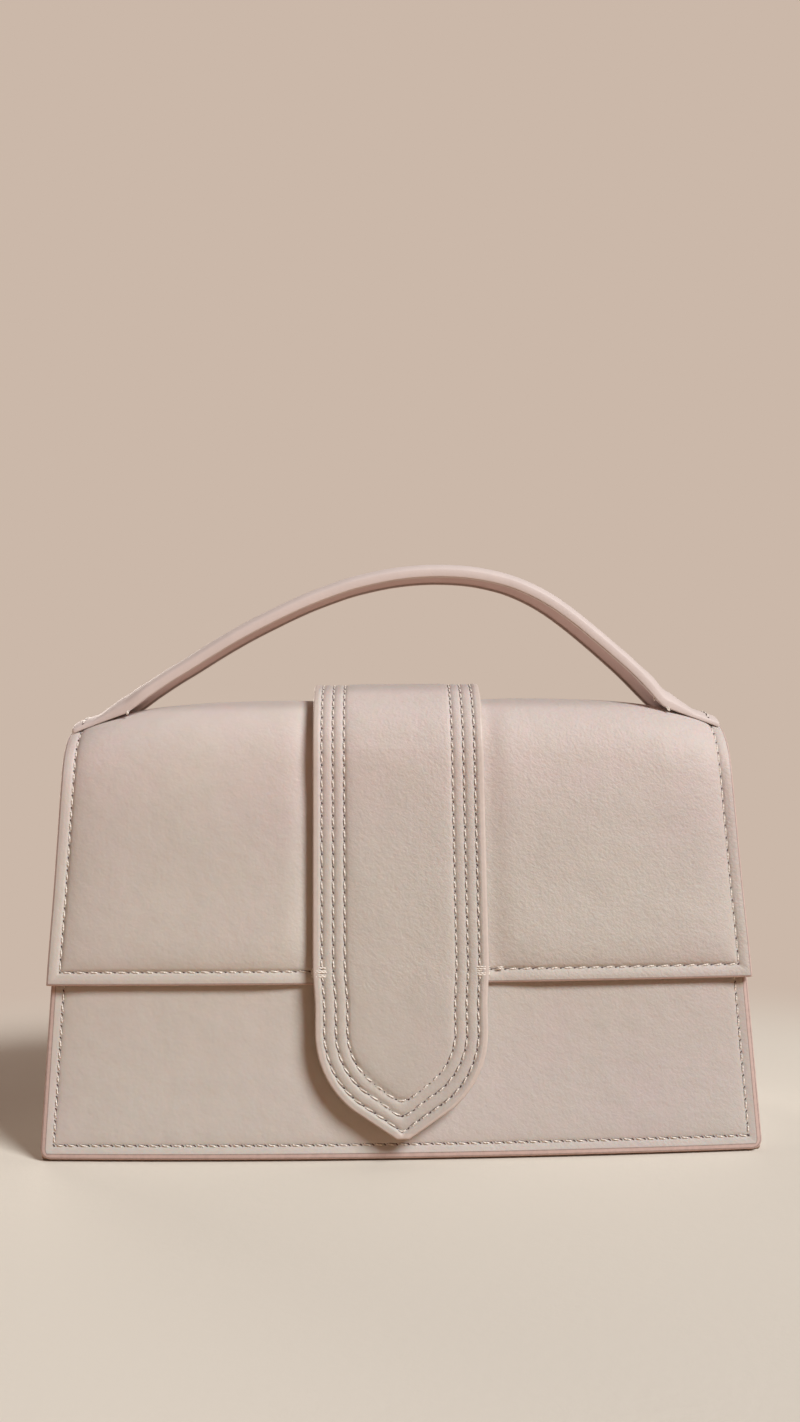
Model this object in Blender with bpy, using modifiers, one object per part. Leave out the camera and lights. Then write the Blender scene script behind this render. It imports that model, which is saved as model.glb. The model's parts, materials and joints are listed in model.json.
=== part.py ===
"""A structured top handle bag with a wide front flap, built piece by piece.

The bag stands on the plane z = 0 with the middle of its base at the origin. The front looks
towards -Y, +X is to the right and +Z is up. Every leather, board and lining piece is a sheet laid
at its own lift over one surface: the leaning front wall, the roll over the top, the back wall.
"""

import math

import bmesh
import bpy
from mathutils import Matrix, Vector

# Outside of the body, at its leather
BODY_WIDTH = 0.240
SHOULDER_STEP = 0.0027
SHOULDER_HEIGHT = 0.131
BASE_DEPTH = 0.0826
SHOULDER_DEPTH = 0.0348
FRONT_CROWN = 0.0045
BACK_CROWN = 0.0020
RIDGE_HEIGHT = 0.1506
RIDGE_DROOP = 0.0112
DROOP_POWER = 5

# Layers and fits
LEATHER = 0.0016
MARGIN = 0.0014
LINING = 0.0008
GAP = 0.0003
OVERRUN = 0.004
WELD = 0.00001

# Front and back walls
PANEL_FOOT = 0.0008
PANEL_CORNER = 0.0035
FRONT_TOP = 0.127
BOARD_INSET = 0.0085
BOARD_FOOT = 0.0090
WALL_LINING_INSET = 0.0052
WALL_LINING_FOOT = 0.0056
WALL_TOP_STEP = 0.0012

# Gussets and base
GUSSET_EDGE = 0.0003
GUSSET_TOP = 0.123
MARGIN_WIDTH = 0.0070
PLEAT_DEPTH = 0.0135
PLEAT_FOOT = 0.0010
PLEAT_POWER = 1.3
BASE_BOARD = 0.0012
BASE_BOARD_INSET = 0.0092

# Flap
FLAP_OVERHANG = 0.0008
FLAP_LINING = 0.0006
FLAP_LEATHER = 0.0014
HEM_HEIGHT = 0.0560
HINGE_DROP = 0.0122
HINGE_CLEARANCE = 0.0010
HINGE_STAND_OFF = 0.0006
YOKE_DROP = 0.0250
FLAP_LINING_INSET = 0.0010

# Centre band and the tab that it ends in
BAND_WIDTH = 0.0572
BAND_LEATHER = 0.0015
BAND_CORE = 0.0023
BAND_CORE_INSET = 0.0008
BEND_HEIGHT = 0.0576
TAB_LINING = 0.0010
TAB_CORE = 0.0010
TAB_SHOULDER = 0.0410
TAB_TIP = 0.0062
TAB_TIP_WIDTH = 0.0022
TAB_CORNER_RADIUS = 0.0305
TAB_CORNER_TURN = math.radians(55)

# Magnetic snap under the tab
SNAP_HEIGHT = 0.0270
SNAP_RADIUS = 0.0080
SNAP_PLATE = 0.0009
SNAP_BORE = 0.0033
SNAP_NUB = 0.0025
SNAP_NUB_LENGTH = 0.0009
SNAP_EDGE = 0.0002
WASHER_RADIUS = 0.0070
WASHER = 0.0008
WASHER_CLEARANCE = 0.0005
TURN_STEPS = 24

# Handle
HANDLE_INSET = 0.0020
HANDLE_END_LENGTH = 0.0300
HANDLE_WIDTH = 0.0240
HANDLE_END_WIDTH = 0.0190
HANDLE_RISE = 0.0533
STRAP = 0.0013
STRAP_END = 0.0022
CORE_CROWN = 0.0022
CORE_WIDTH = 0.0200
CORE_EDGE_SHARE = 0.96
CORE_END_INSET = 0.0075
CORE_FADE = 0.0160
SWING_DROP = 0.0040

# Where the sheets are divided, as shares
PANEL_COLUMN_SHARES = (-1, -0.93, -0.8, -0.6, -0.4, -0.2, 0, 0.2, 0.4, 0.6, 0.8, 0.93, 1)
FLAP_COLUMN_SHARES = (-1, -0.95, -0.89, -0.82, -0.72, -0.55, -0.35, -0.12,
                      0.12, 0.35, 0.55, 0.72, 0.82, 0.89, 0.95, 1)
BAND_COLUMN_SHARES = (-1, -0.5, 0, 0.5, 1)
ROLL_SHARES = (0, 0.125, 0.25, 0.375, 0.5, 0.625, 0.75, 0.875, 1)
WALL_ROW_SHARES = (0.25, 0.5, 0.75, 1)
TAB_CURVE_SHARES = (0, 0.2, 0.4, 0.6, 0.8, 1)
CORNER_SHARES = (0, 0.13, 0.5, 1)
GUSSET_ROW_SHARES = (0, 0.25, 0.5, 0.75, 1)
CORE_COLUMN_SHARES = (-1, -0.5, 0, 0.5, 1)

# The gusset's fold, from margin to margin: share of the half depth, share of the pleat
PLEAT_SHARES = ((-1, 0), (-0.62, 0.24), (-0.3, 0.62), (-0.07, 0.97),
                (0.07, 0.97), (0.3, 0.62), (0.62, 0.24), (1, 0))

# The underside of the handle, from end to end: share of half the span, share of the rise
HANDLE_PATH_SHARES = (
    (-1.0, 0.0), (-0.932, 0.058), (-0.881, 0.088), (-0.831, 0.12), (-0.78, 0.163), (-0.729, 0.218),
    (-0.678, 0.285), (-0.606, 0.396), (-0.525, 0.508), (-0.432, 0.634), (-0.347, 0.73),
    (-0.269, 0.811), (-0.189, 0.878), (-0.11, 0.936), (-0.029, 0.974), (0.059, 0.996), (0.144, 1.0),
    (0.225, 0.989), (0.303, 0.959), (0.386, 0.902), (0.462, 0.812), (0.542, 0.697), (0.62, 0.552),
    (0.701, 0.398), (0.746, 0.314), (0.788, 0.235), (0.831, 0.165), (0.881, 0.107), (0.932, 0.062),
    (1.0, 0.0))
HANDLE_STATIONS = 26
HANDLE_END_STATIONS = 7

# Worked out from the sizes above
LEAN = math.atan((BASE_DEPTH - SHOULDER_DEPTH) / 2 / SHOULDER_HEIGHT)
ROLL_TURN = math.pi - 2 * LEAN
UNDER_PANEL = -(LEATHER + GAP)
UNDER_MARGIN = UNDER_PANEL - MARGIN - GAP
FLAP_LIFT = GAP + FLAP_LINING + GAP + FLAP_LEATHER
CORE_LIFT = FLAP_LIFT + GAP + BAND_CORE
BAND_LIFT = CORE_LIFT + GAP + BAND_LEATHER
TAB_CORE_LIFT = BAND_LIFT - BAND_LEATHER - GAP
TAB_LINING_LIFT = TAB_CORE_LIFT - TAB_CORE - GAP
TAB_BACK = TAB_LINING_LIFT - TAB_LINING
BASE_BOARD_FLOOR = MARGIN + GAP
BASE_LINING_FLOOR = BASE_BOARD_FLOOR + BASE_BOARD + GAP
HANDLE_SPAN = BODY_WIDTH - 2 * HANDLE_INSET
HANDLE_FREE = HANDLE_SPAN / 2 - HANDLE_END_LENGTH
CORE_END = HANDLE_SPAN / 2 - CORE_END_INSET
FRONT, ROLL, BACK = -1, 0, 1
LEFT, RIGHT = -1, 1

# Finishes: colour, roughness and metallic value
BODY_LEATHER = ((0.60, 0.46, 0.40, 1), 0.42, 0.0)
BAND_FINISH = ((0.64, 0.50, 0.44, 1), 0.40, 0.0)
SUEDE = ((0.52, 0.41, 0.35, 1), 0.90, 0.0)
BOARD = ((0.45, 0.42, 0.38, 1), 0.85, 0.0)
FILLER = ((0.75, 0.72, 0.66, 1), 0.90, 0.0)
NICKEL = ((0.72, 0.71, 0.69, 1), 0.30, 1.0)


def body_half(height):
    """Half the width of the front and back walls at a height."""
    return BODY_WIDTH / 2 - SHOULDER_STEP * height / SHOULDER_HEIGHT


def crown(x, size):
    """How far a wall swells at x, from size in the middle to nothing at the side."""
    return size * (1 - min(abs(x) / (BODY_WIDTH / 2), 1) ** 2)


def foot_depth(x, side):
    """Distance from the bag's middle plane to the foot of the front or back wall."""
    return BASE_DEPTH / 2 + crown(x, FRONT_CROWN if side == FRONT else BACK_CROWN)


def ridge(x):
    """Height of the roll's top at x, which droops towards the sides."""
    return RIDGE_HEIGHT - RIDGE_DROOP * min(abs(x) / (BODY_WIDTH / 2), 1) ** DROOP_POWER


def roll_circle(x):
    """Centre (y, z) and radius of the roll that is tangent to both walls at x."""
    depth = (foot_depth(x, FRONT) + foot_depth(x, BACK)) / 2
    rise = math.cos(LEAN) - (1 - math.sin(LEAN)) * math.tan(LEAN)
    radius = (depth - ridge(x) * math.tan(LEAN)) / rise
    return (foot_depth(x, BACK) - foot_depth(x, FRONT)) / 2, ridge(x) - radius, radius


def roll_start(x):
    """Height at which the walls end and the roll starts."""
    middle, radius = roll_circle(x)[1:]
    return middle + radius * math.sin(LEAN)


# The flap's hinge line, and the back wall's top just under it
HINGE_HEIGHT = roll_start(0) - HINGE_DROP
BACK_TOP = HINGE_HEIGHT - HINGE_CLEARANCE


def surface_point(x, row, lift):
    """A point of the bag's surface: row is (wall, height) or (ROLL, share of its turn)."""
    part, value = row
    if part == ROLL:
        y, z, radius = roll_circle(x)
        turn = LEAN + value * ROLL_TURN
        reach = radius + lift
        return Vector((x, y - reach * math.cos(turn), z + reach * math.sin(turn)))
    depth = foot_depth(x, part) - value * math.tan(LEAN) + lift * math.cos(LEAN)
    return Vector((x, part * depth, value + lift * math.sin(LEAN)))


def wall_rows(part, low, high, shares):
    """Rows up the front wall or down the back wall between two heights."""
    heights = [low + share * (high - low) for share in shares]
    return [(part, height) for height in (heights if part == FRONT else reversed(heights))]


def over_rows(front_low, back_low):
    """Rows from a height on the front wall, over the roll, to a height on the back wall."""
    front = [(FRONT, front_low)]
    front += [("front_share", front_low, share) for share in WALL_ROW_SHARES[1:-1]]
    roll = [(ROLL, share) for share in ROLL_SHARES]
    return front + roll + [(BACK, back_low)]


def resolve(row, x):
    """Turns a row that is a share of the front wall up to the roll into its height at x."""
    if row[0] != "front_share":
        return row
    low, share = row[1:]
    return FRONT, low + share * (roll_start(x) - low)


def collection(name, hidden=False):
    """A collection linked to the scene."""
    group = bpy.data.collections.new(name)
    group.hide_render = hidden
    bpy.context.scene.collection.children.link(group)
    return group


def finish(name, color, roughness, metallic):
    """A plain material for one piece."""
    material = bpy.data.materials.new(name)
    material.use_nodes = True
    shader = material.node_tree.nodes["Principled BSDF"]
    shader.inputs["Base Color"].default_value = color
    shader.inputs["Roughness"].default_value = roughness
    shader.inputs["Metallic"].default_value = metallic
    return material


class Builder:
    """Places finished meshes in the bag's collection, under the empty of the body they move with."""

    def __init__(self):
        self.parts = collection("top_handle_flap_bag")
        self.cutters = collection("cutters", hidden=True)
        self.empties = {None: None}

    def pivot(self, name, location, parent=None):
        """An empty on a joint's axis."""
        empty = bpy.data.objects.new(name, None)
        empty.location = location - (self.place(parent) if parent else Vector())
        empty.parent = self.empties[parent]
        empty.empty_display_size = SNAP_RADIUS
        self.parts.objects.link(empty)
        self.empties[name] = empty

    def place(self, name):
        """World position of a pivot, or the origin."""
        spot = Vector()
        empty = self.empties[name]
        while empty:
            spot += empty.location
            empty = empty.parent
        return spot

    def add(self, name, mesh, look, pivot=None):
        """A new object from a bmesh in world coordinates."""
        bmesh.ops.translate(mesh, verts=mesh.verts, vec=-self.place(pivot))
        data = bpy.data.meshes.new(name)
        mesh.to_mesh(data)
        mesh.free()
        data.materials.append(finish(name, *look))
        piece = bpy.data.objects.new(name, data)
        piece.parent = self.empties[pivot]
        self.parts.objects.link(piece)
        return piece

    def sheet(self, name, rows, half_width, columns, lift, thickness, look, pivot=None):
        """A sheet with its outer face at a lift over the bag's surface, thickened inward."""
        mesh = grid(len(columns) - 1, len(rows) - 1)
        for vertex in mesh.verts:
            row = rows[round(vertex.co.y)]
            x = columns[round(vertex.co.x)] * half_width(row)
            vertex.co = surface_point(x, resolve(row, x), lift)
        piece = self.add(name, mesh, look, pivot)
        thicken(piece, thickness)
        return piece


def grid(columns, rows):
    """A flat grid of unit cells whose corners have whole numbers as coordinates."""
    mesh = bmesh.new()
    bmesh.ops.create_grid(mesh, x_segments=columns, y_segments=rows, size=1)
    for vertex in mesh.verts:
        vertex.co.x = (vertex.co.x + 1) / 2 * columns
        vertex.co.y = (vertex.co.y + 1) / 2 * rows
    return mesh


def thicken(piece, thickness, notched=False):
    """Gives a sheet its thickness on the side away from its normals."""
    solid = piece.modifiers.new("thickness", "SOLIDIFY")
    solid.thickness = thickness
    solid.offset = -1
    solid.use_even_offset = True
    if notched:
        solid.solidify_mode = "NON_MANIFOLD"
        solid.nonmanifold_thickness_mode = "CONSTRAINTS"
        solid.nonmanifold_merge_threshold = WELD


def loft(rings):
    """A closed body through rings of equal length, capped at both ends."""
    mesh = bmesh.new()
    loops = [[mesh.verts.new(point) for point in ring] for ring in rings]
    for first, second in zip(loops, loops[1:]):
        for index in range(len(first)):
            after = (index + 1) % len(first)
            mesh.faces.new((first[index], second[index], second[after], first[after]))
    mesh.faces.new(loops[0])
    mesh.faces.new(reversed(loops[-1]))
    bmesh.ops.recalc_face_normals(mesh, faces=mesh.faces)
    return mesh


def panel_half(row):
    """Half width of a wall panel at a row, with its round bottom corners."""
    height = row[1]
    above = min(max(height - PANEL_FOOT, 0), PANEL_CORNER)
    cut = PANEL_CORNER - math.sqrt(PANEL_CORNER ** 2 - (PANEL_CORNER - above) ** 2)
    return body_half(height) - cut


def panel_rows(part, top):
    """Rows of a wall panel: close together at its round corners, then up to its top."""
    corner = [PANEL_FOOT + share * PANEL_CORNER for share in CORNER_SHARES]
    upper = [corner[-1] + share * (top - corner[-1]) for share in WALL_ROW_SHARES]
    heights = corner + upper
    return [(part, height) for height in (heights if part == FRONT else reversed(heights))]


def add_walls(bag):
    """Leather, board and lining of the front and back walls."""
    for part, word, top in ((FRONT, "front", FRONT_TOP), (BACK, "back", BACK_TOP)):
        bag.sheet(word + "_panel", panel_rows(part, top), panel_half, PANEL_COLUMN_SHARES,
                  0, LEATHER, BODY_LEATHER)
        board_rows = wall_rows(part, BOARD_FOOT, top - WALL_TOP_STEP, (0, 0.5, 1))
        bag.sheet(word + "_board", board_rows, lambda row: body_half(row[1]) - BOARD_INSET,
                  PANEL_COLUMN_SHARES, UNDER_PANEL, MARGIN, BOARD)
        lining_rows = wall_rows(part, WALL_LINING_FOOT, top - WALL_TOP_STEP, (0, 0.5, 1))
        bag.sheet(word + "_lining", lining_rows, lambda row: body_half(row[1]) - WALL_LINING_INSET,
                  PANEL_COLUMN_SHARES, UNDER_MARGIN, LINING, SUEDE)


def margin_depth(x, side, height, inner):
    """Distance from the middle plane to the turned margins, or to a layer further in."""
    return foot_depth(x, side) - height * math.tan(LEAN) - (LEATHER + GAP + inner) / math.cos(LEAN)


def pleat_depth(height):
    """How deep the gusset is folded in at a height."""
    share = height / GUSSET_TOP
    return PLEAT_FOOT + (PLEAT_DEPTH - PLEAT_FOOT) * share ** PLEAT_POWER


def offset_path(points, distance):
    """A path in a level plane, moved by a distance to its left."""
    moved = []
    for index, point in enumerate(points):
        before = points[max(index - 1, 0)]
        after = points[min(index + 1, len(points) - 1)]
        sides = []
        for start, end in ((before, point), (point, after)):
            run = (end - start).normalized()
            if run.length > 0:
                sides.append(Vector((-run.y, run.x, 0)))
        turned = sides[0] + sides[-1]
        moved.append(point + turned * (2 * distance / turned.length_squared))
    return moved


def gusset_section(height, inset):
    """Outer face of the right gusset at a height from front to back, or a layer further in."""
    outer = body_half(height) - GUSSET_EDGE
    inner = outer - MARGIN_WIDTH
    front = margin_depth(outer, FRONT, height, 0)
    back = margin_depth(outer, BACK, height, 0)
    points = [Vector((inner, -margin_depth(inner, FRONT, height, 0), height))]
    for along, fold in PLEAT_SHARES:
        y = along * (front if along < 0 else back)
        points.append(Vector((outer - fold * pleat_depth(height), y, height)))
    points.append(Vector((inner, margin_depth(inner, BACK, height, 0), height)))
    return offset_path(points, inset)[1:-1] if inset else points


def gusset_sheet(bag, name, side, foot, inset, thickness, look):
    """A folded side piece, or its lining."""
    heights = [foot + share * (GUSSET_TOP - foot) for share in GUSSET_ROW_SHARES]
    sections = [gusset_section(height, inset) for height in heights]
    mesh = grid(len(sections[0]) - 1, len(sections) - 1)
    for vertex in mesh.verts:
        point = sections[round(vertex.co.y)][round(vertex.co.x)]
        vertex.co = Vector((side * point.x, point.y, point.z))
    if side == LEFT:
        bmesh.ops.reverse_faces(mesh, faces=mesh.faces)
    thicken(bag.add(name, mesh, look), thickness)


def add_gussets(bag):
    """Folded side pieces with margins turned in behind the walls, and their linings."""
    foot = MARGIN + GAP
    for side, word in ((LEFT, "left"), (RIGHT, "right")):
        gusset_sheet(bag, "gusset_" + word, side, foot, 0, MARGIN, BODY_LEATHER)
        gusset_sheet(bag, "gusset_lining_" + word, side, WALL_LINING_FOOT, MARGIN + GAP, LINING,
                     SUEDE)


def base_strip(name, floor, inset, columns, bag, thickness, look, fold):
    """A flat strip between the walls, with turned up margins where fold is more than zero."""
    half = body_half(0) - GUSSET_EDGE
    rows = (-2, -1, 0, 1, 2) if fold else (-1, 0, 1)
    mesh = grid(len(columns) - 1, len(rows) - 1)
    doomed = [face for face in mesh.faces if fold and not base_keeps(face, columns, rows)]
    bmesh.ops.delete(mesh, geom=doomed, context="FACES")
    for vertex in mesh.verts:
        row = rows[round(vertex.co.y)]
        x = columns[round(vertex.co.x)] * (half - inset)
        side = FRONT if row < 0 else BACK
        up = MARGIN_WIDTH if abs(row) == 2 else floor
        depth = margin_depth(x, side, up, inset if not fold else 0)
        vertex.co = Vector((x, depth * max(-1, min(1, row)), up))
    bmesh.ops.reverse_faces(mesh, faces=mesh.faces)
    thicken(bag.add(name, mesh, look), thickness, notched=fold)


def base_keeps(face, columns, rows):
    """Whether a cell of the base is kept: its margins stop short of the gussets' margins."""
    middle = face.calc_center_median()
    turned = middle.y < 1 or middle.y > len(rows) - 2
    outermost = middle.x < 1 or middle.x > len(columns) - 2
    return not (turned and outermost)


def add_base(bag):
    """Base leather with its turned up margins, the stiff board over it, and the lining."""
    half = body_half(0) - GUSSET_EDGE
    inner = (half - MARGIN_WIDTH - GAP) / half
    columns = (-1, -inner) + PANEL_COLUMN_SHARES[2:-2] + (inner, 1)
    base_strip("base_panel", 0, 0, columns, bag, MARGIN, BODY_LEATHER, fold=True)
    base_strip("base_board", BASE_BOARD_FLOOR, BASE_BOARD_INSET, PANEL_COLUMN_SHARES[1:-1], bag,
               BASE_BOARD, BOARD, fold=False)
    base_strip("base_lining", BASE_LINING_FLOOR, BASE_BOARD_INSET, PANEL_COLUMN_SHARES[1:-1], bag,
               LINING, SUEDE, fold=False)


def flap_half(row):
    """Half width of the flap at a row."""
    if row[0] == ROLL:
        height = SHOULDER_HEIGHT
    elif row[0] == "front_share":
        height = row[1] + row[2] * (SHOULDER_HEIGHT - row[1])
    else:
        height = row[1]
    return body_half(height) + FLAP_OVERHANG


def add_flap(bag):
    """Flap leather and lining, from the hinge line over the top down to the hem."""
    back_low = HINGE_HEIGHT + GAP
    rows = over_rows(HEM_HEIGHT, back_low)
    bag.sheet("flap_leather", rows, flap_half, FLAP_COLUMN_SHARES, FLAP_LIFT, FLAP_LEATHER,
              BODY_LEATHER, "flap_hinge")
    lining_rows = over_rows(HEM_HEIGHT + FLAP_LINING_INSET, back_low)
    bag.sheet("flap_lining", lining_rows, lambda row: flap_half(row) - FLAP_LINING_INSET,
              FLAP_COLUMN_SHARES, GAP + FLAP_LINING, FLAP_LINING, SUEDE, "flap_hinge")
    yoke_top = HINGE_HEIGHT - GAP
    yoke_rows = wall_rows(BACK, HINGE_HEIGHT - YOKE_DROP, yoke_top, (0, 0.5, 1))
    bag.sheet("back_yoke", yoke_rows, flap_half, PANEL_COLUMN_SHARES, FLAP_LIFT,
              FLAP_LIFT - GAP, BODY_LEATHER)


def band_half(row):
    """Half width of the centre band."""
    return BAND_WIDTH / 2


def add_band(bag):
    """Centre band: its filled part over the flap, and its end on the back."""
    back_low = HINGE_HEIGHT + GAP
    rows = over_rows(BEND_HEIGHT + GAP, back_low)
    bag.sheet("band_leather", rows, band_half, BAND_COLUMN_SHARES, BAND_LIFT, BAND_LEATHER,
              BAND_FINISH, "flap_hinge")
    bag.sheet("band_core", rows, lambda row: band_half(row) - BAND_CORE_INSET,
              BAND_COLUMN_SHARES, CORE_LIFT, BAND_CORE, FILLER, "flap_hinge")
    back_rows = wall_rows(BACK, HINGE_HEIGHT - YOKE_DROP, HINGE_HEIGHT - GAP, (0, 0.5, 1))
    bag.sheet("band_back", back_rows, band_half, BAND_COLUMN_SHARES, BAND_LIFT,
              BAND_LIFT - FLAP_LIFT - GAP, BAND_FINISH)


def tab_half(height, inset):
    """Half width of the tab at a height: straight, then round, then straight to a blunt tip."""
    half = BAND_WIDTH / 2
    if height >= TAB_SHOULDER:
        return half - inset
    drop = TAB_SHOULDER - height
    turn_drop = TAB_CORNER_RADIUS * math.sin(TAB_CORNER_TURN)
    middle = half - TAB_CORNER_RADIUS
    if drop <= turn_drop:
        return middle + math.sqrt(TAB_CORNER_RADIUS ** 2 - drop ** 2) - inset
    turned = middle + TAB_CORNER_RADIUS * math.cos(TAB_CORNER_TURN)
    share = (drop - turn_drop) / (TAB_SHOULDER - TAB_TIP - turn_drop)
    return turned + share * (TAB_TIP_WIDTH / 2 - turned) - inset * (1 - share)


def tab_rows(foot):
    """Rows up the tab from its tip to the line where it bends."""
    turn_drop = TAB_CORNER_RADIUS * math.sin(TAB_CORNER_TURN)
    low = TAB_SHOULDER - turn_drop
    heights = [foot, (foot + low) / 2]
    heights += [TAB_SHOULDER - turn_drop * share for share in reversed(TAB_CURVE_SHARES)]
    heights.append(BEND_HEIGHT - GAP)
    return [(FRONT, height) for height in heights]


def wall_spot(lift):
    """The snap's place over the front wall at a lift."""
    return surface_point(0, (FRONT, SNAP_HEIGHT), lift)


def add_disc(bag, name, radius, thickness, lift, look, pivot=None, cutter=False):
    """A flat disc on the front wall's normal, with its outer face at a lift."""
    mesh = bmesh.new()
    bmesh.ops.create_cone(mesh, cap_ends=True, segments=TURN_STEPS, radius1=radius, radius2=radius,
                          depth=thickness)
    bmesh.ops.rotate(mesh, verts=mesh.verts, matrix=wall_turn())
    bmesh.ops.translate(mesh, verts=mesh.verts, vec=wall_spot(lift - thickness / 2))
    piece = bag.add(name, mesh, look, pivot)
    if cutter:
        bag.parts.objects.unlink(piece)
        bag.cutters.objects.link(piece)
        piece.hide_render = True
        piece.display_type = "WIRE"
    return piece


def wall_turn():
    """Rotation that takes +Z to the front wall's outward normal."""
    return Matrix.Rotation(math.pi / 2 - LEAN, 3, "X")


def cut_hole(bag, piece, lift, thickness, pivot=None):
    """A round recess through a sheet for a snap's washer."""
    cutter = add_disc(bag, piece.name + "_cutter", WASHER_RADIUS + WASHER_CLEARANCE,
                      thickness + 2 * OVERRUN, lift + OVERRUN, NICKEL, pivot, True)
    hole = piece.modifiers.new("washer_hole", "BOOLEAN")
    hole.operation = "DIFFERENCE"
    hole.solver = "EXACT"
    hole.object = cutter


def turned(bag, name, profile, foot_lift, look, pivot=None):
    """A turned piece on the front wall's normal; the profile runs down its outer side."""
    data = bpy.data.meshes.new(name)
    closed = profile[0][0] > 0
    count = len(profile)
    edges = [(index, (index + 1) % count) for index in range(count if closed else count - 1)]
    data.from_pydata([(radius, 0, height) for radius, height in profile], edges, [])
    data.materials.append(finish(name, *look))
    piece = bpy.data.objects.new(name, data)
    piece.parent = bag.empties[pivot]
    piece.location = wall_spot(foot_lift) - bag.place(pivot)
    piece.rotation_euler = (math.pi / 2 - LEAN, 0, 0)
    bag.parts.objects.link(piece)
    screw = piece.modifiers.new("turn", "SCREW")
    screw.steps = screw.render_steps = TURN_STEPS
    screw.use_merge_vertices = not closed
    screw.merge_threshold = WELD
    return piece


def add_tab(bag):
    """The tab below the hem and the magnetic snap under it."""
    layers = (("tab_leather", BAND_LIFT, BAND_LEATHER, 0, BAND_FINISH),
              ("tab_core", TAB_CORE_LIFT, TAB_CORE, BAND_CORE_INSET, FILLER),
              ("tab_lining", TAB_LINING_LIFT, TAB_LINING, 0, BODY_LEATHER))
    for name, lift, thickness, inset, look in layers:
        piece = bag.sheet(name, tab_rows(TAB_TIP + inset), lambda row: tab_half(row[1], inset),
                          BAND_COLUMN_SHARES, lift, thickness, look, "tab_bend")
        if name == "tab_core":
            cut_hole(bag, piece, lift, thickness, "tab_bend")
    stud_plate = TAB_BACK - GAP - SNAP_PLATE
    nub = -SNAP_NUB_LENGTH
    turned(bag, "snap_stud", (
        (0, SNAP_PLATE), (SNAP_RADIUS - SNAP_EDGE, SNAP_PLATE), (SNAP_RADIUS, SNAP_PLATE - SNAP_EDGE),
        (SNAP_RADIUS, 0), (SNAP_NUB, 0), (SNAP_NUB, nub + SNAP_EDGE), (SNAP_NUB - SNAP_EDGE, nub),
        (0, nub)), stud_plate, NICKEL, "tab_bend")
    add_disc(bag, "snap_stud_washer", WASHER_RADIUS, WASHER, TAB_CORE_LIFT, NICKEL,
             "tab_bend")
    turned(bag, "snap_socket", (
        (SNAP_BORE + SNAP_EDGE, SNAP_PLATE), (SNAP_RADIUS - SNAP_EDGE, SNAP_PLATE),
        (SNAP_RADIUS, SNAP_PLATE - SNAP_EDGE), (SNAP_RADIUS, 0), (SNAP_BORE, 0),
        (SNAP_BORE, SNAP_PLATE - SNAP_EDGE)), GAP, NICKEL)
    add_disc(bag, "snap_socket_washer", WASHER_RADIUS, WASHER, UNDER_PANEL, NICKEL)
    board = bag.parts.objects["front_board"]
    cut_hole(bag, board, UNDER_PANEL, MARGIN)


def smooth_path(points, x):
    """Height of a smooth curve through points at x, with slopes from each point's neighbours."""
    last = len(points) - 1
    index = next((i for i in range(last) if x <= points[i + 1][0]), last - 1)
    (x0, z0), (x1, z1) = points[index], points[index + 1]

    def slope(i):
        before, after = points[max(i - 1, 0)], points[min(i + 1, last)]
        return (after[1] - before[1]) / (after[0] - before[0])

    step = x1 - x0
    t = min(max((x - x0) / step, 0), 1)
    return ((2 * t ** 3 - 3 * t ** 2 + 1) * z0 + (t ** 3 - 2 * t ** 2 + t) * step * slope(index)
            + (3 * t ** 2 - 2 * t ** 3) * z1 + (t ** 3 - t ** 2) * step * slope(index + 1))


def handle_foot():
    """Height of the strap's underside at its sewn ends."""
    return ridge(HANDLE_SPAN / 2) + FLAP_LIFT + GAP


def under_strap(x):
    """Height of the strap's underside at x, never below the flap's top."""
    points = [(along * HANDLE_SPAN / 2, handle_foot() + rise * HANDLE_RISE)
              for along, rise in HANDLE_PATH_SHARES]
    return max(smooth_path(points, x), ridge(x) + FLAP_LIFT + GAP)


def upright(x):
    """How much taller the strap's layers stand at x because it slopes there."""
    step = HANDLE_SPAN / 2 / HANDLE_STATIONS
    inner = max(min(x, HANDLE_SPAN / 2 - step), step - HANDLE_SPAN / 2)
    slope = (under_strap(inner + step) - under_strap(inner - step)) / (2 * step)
    return math.sqrt(1 + slope ** 2)


def ease(share):
    """A smooth step from 0 to 1."""
    share = min(max(share, 0), 1)
    return share * share * (3 - 2 * share)


def end_share(x):
    """0 along the free arch, 1 at the sewn tips."""
    return (abs(x) - HANDLE_FREE) / HANDLE_END_LENGTH


def strap_half(x):
    """Half width of the strap at x."""
    return (HANDLE_WIDTH + ease(end_share(x)) * (HANDLE_END_WIDTH - HANDLE_WIDTH)) / 2


def core_height(x, y):
    """Height of the soft core at x and y, along the strap's own normal."""
    fade = ease((CORE_END - abs(x)) / CORE_FADE)
    across = min(abs(y) / (CORE_WIDTH / 2), 1)
    return CORE_CROWN * fade * (1 - across ** 2)


def strap_ring(x, low, high, half=0, sag=None):
    """A ring in the plane at x between two height functions of y, as wide as the core or wider."""
    ys = [share * CORE_WIDTH / 2 * CORE_EDGE_SHARE for share in CORE_COLUMN_SHARES]
    if half:
        ys = [-half] + [min(max(y, -half * CORE_EDGE_SHARE), half * CORE_EDGE_SHARE) for y in ys] + [half]
    drop = sag or (lambda y: 0)
    middle = roll_circle(x)[0] * (1 - ease(end_share(x)))
    bottom = [Vector((x, middle + y, under_strap(x) - drop(y) + low(y) * upright(x))) for y in ys]
    top = [Vector((x, middle + y, under_strap(x) - drop(y) + high(y) * upright(x)))
           for y in reversed(ys)]
    return bottom + top


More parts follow.
